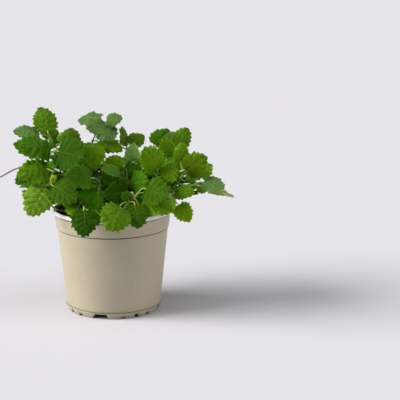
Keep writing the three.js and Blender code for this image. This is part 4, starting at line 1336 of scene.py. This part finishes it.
def dress_plant():
    """Every piece of the plant, the peat and the pot."""
    add_mottle_group()
    leaf_look = leaf_material()
    stem_look = stem_material()
    random = np.random.default_rng(SEED)
    stems, twig = grow()
    number = 0
    for stem in stems:
        blades = []
        for leaf in stem.leaves:
            leaf.colour = leaf_colour(leaf, random)
            leaf.number = number
            blades.append(blade(leaf))
            number += 1
        stalks = [stem_tube(stem, STEM_WIDTH), *[stalk(leaf) for leaf in stem.leaves]]
        dress(put(stem.name + "_stalks", added(stalks), stem_look), stem.name)
        dress(put(stem.name + "_blades", added(blades), leaf_look), stem.name)
    dress(put("dry_twig_piece", twig_tube(twig), twig_material()), twig.name)
    peat = soil_material()
    dress(put("peat_fill", soil_shape(), peat), "soil")
    dress(put("peat_crumbs", crumbs(CRUMBS, CRUMB_SIZES, random), peat, smooth=False), "soil")
    pot = put("grow_pot", pot_shape(), pot_material())
    drill(pot)
    dress(pot, "pot")


# ---------------------------------------------------------------- floor, light and camera

FLOOR_SIZE = 40000.0  # from its middle to each side
FLOOR_COLOUR = (201, 200, 204)
AMBIENT = 0.2  # how brightly the surroundings light the plant
BACKDROP = 0.74  # how bright they are where they are seen
# Each light's name, azimuth, height, strength, spread and colour.
LIGHTS = [
    ("key", -80, 28, 5.35, 40, (1.0, 0.99, 0.98)),
    ("fill", 84, 12, 1.75, 50, (1.0, 0.98, 0.96)),
    ("top", -20, 75, 0.8, 60, (1.0, 1.0, 1.0)),
]


def set_stage():
    """A wide pale floor. The backdrop above it is as bright as the floor, and lights the plant only
    faintly."""
    corners = FLOOR_SIZE * np.array([(-1, -1, 0), (1, -1, 0), (1, 1, 0), (-1, 1, 0)], float)
    material = Look("pale_floor", Roughness=1.0, Specular_IOR_Level=0.0).complete(FLOOR_COLOUR)
    floor = put("floor", Shape(corners, np.array([(0, 1, 2), (0, 2, 3)])), material, smooth=False)
    world = bpy.data.worlds.new("studio")
    bpy.context.scene.world = world
    world.use_nodes = True
    graph = Graph(world.node_tree)
    ambient = world.node_tree.nodes["Background"]
    ambient.inputs["Color"].default_value = (0.95, 0.96, 1.0, 1)
    ambient.inputs["Strength"].default_value = AMBIENT
    backdrop = graph.node("Background", {"Color": (0.96, 0.95, 1.0, 1), "Strength": BACKDROP})
    either = graph.node("MixShader", {0: graph.node("LightPath").outputs["Is Camera Ray"]})
    graph.feed(either.inputs[1], ambient.outputs[0])
    graph.feed(either.inputs[2], backdrop.outputs[0])
    graph.feed(world.node_tree.nodes["World Output"].inputs["Surface"], either.outputs[0])


def add_light(name, azimuth, height, strength, spread, colour):
    """A broad soft light, far away: azimuth is in degrees from the front towards the right, height in
    degrees."""
    light = bpy.data.lights.new(name, "SUN")
    light.energy = strength
    light.angle = math.radians(spread)
    light.color = colour
    lamp = bpy.data.objects.new(name, light)
    bpy.context.scene.collection.objects.link(lamp)
    lamp.rotation_euler = (math.radians(90 - height), 0, math.radians(azimuth))


def set_camera():
    """The camera stands where the eye is."""
    camera = bpy.data.objects.new("camera", bpy.data.cameras.new("camera"))
    bpy.context.scene.collection.objects.link(camera)
    camera.location = EYE * MM
    camera.rotation_euler = (math.radians(90 - EYE_PITCH), 0, 0)
    camera.data.lens = EYE_LENS
    camera.data.sensor_width = 36
    camera.data.clip_start = 0.05
    camera.data.clip_end = 100
    bpy.context.scene.camera = camera


dress_plant()
set_stage()
for light in LIGHTS:
    add_light(*light)
set_camera()
bpy.context.scene.view_settings.view_transform = "Standard"
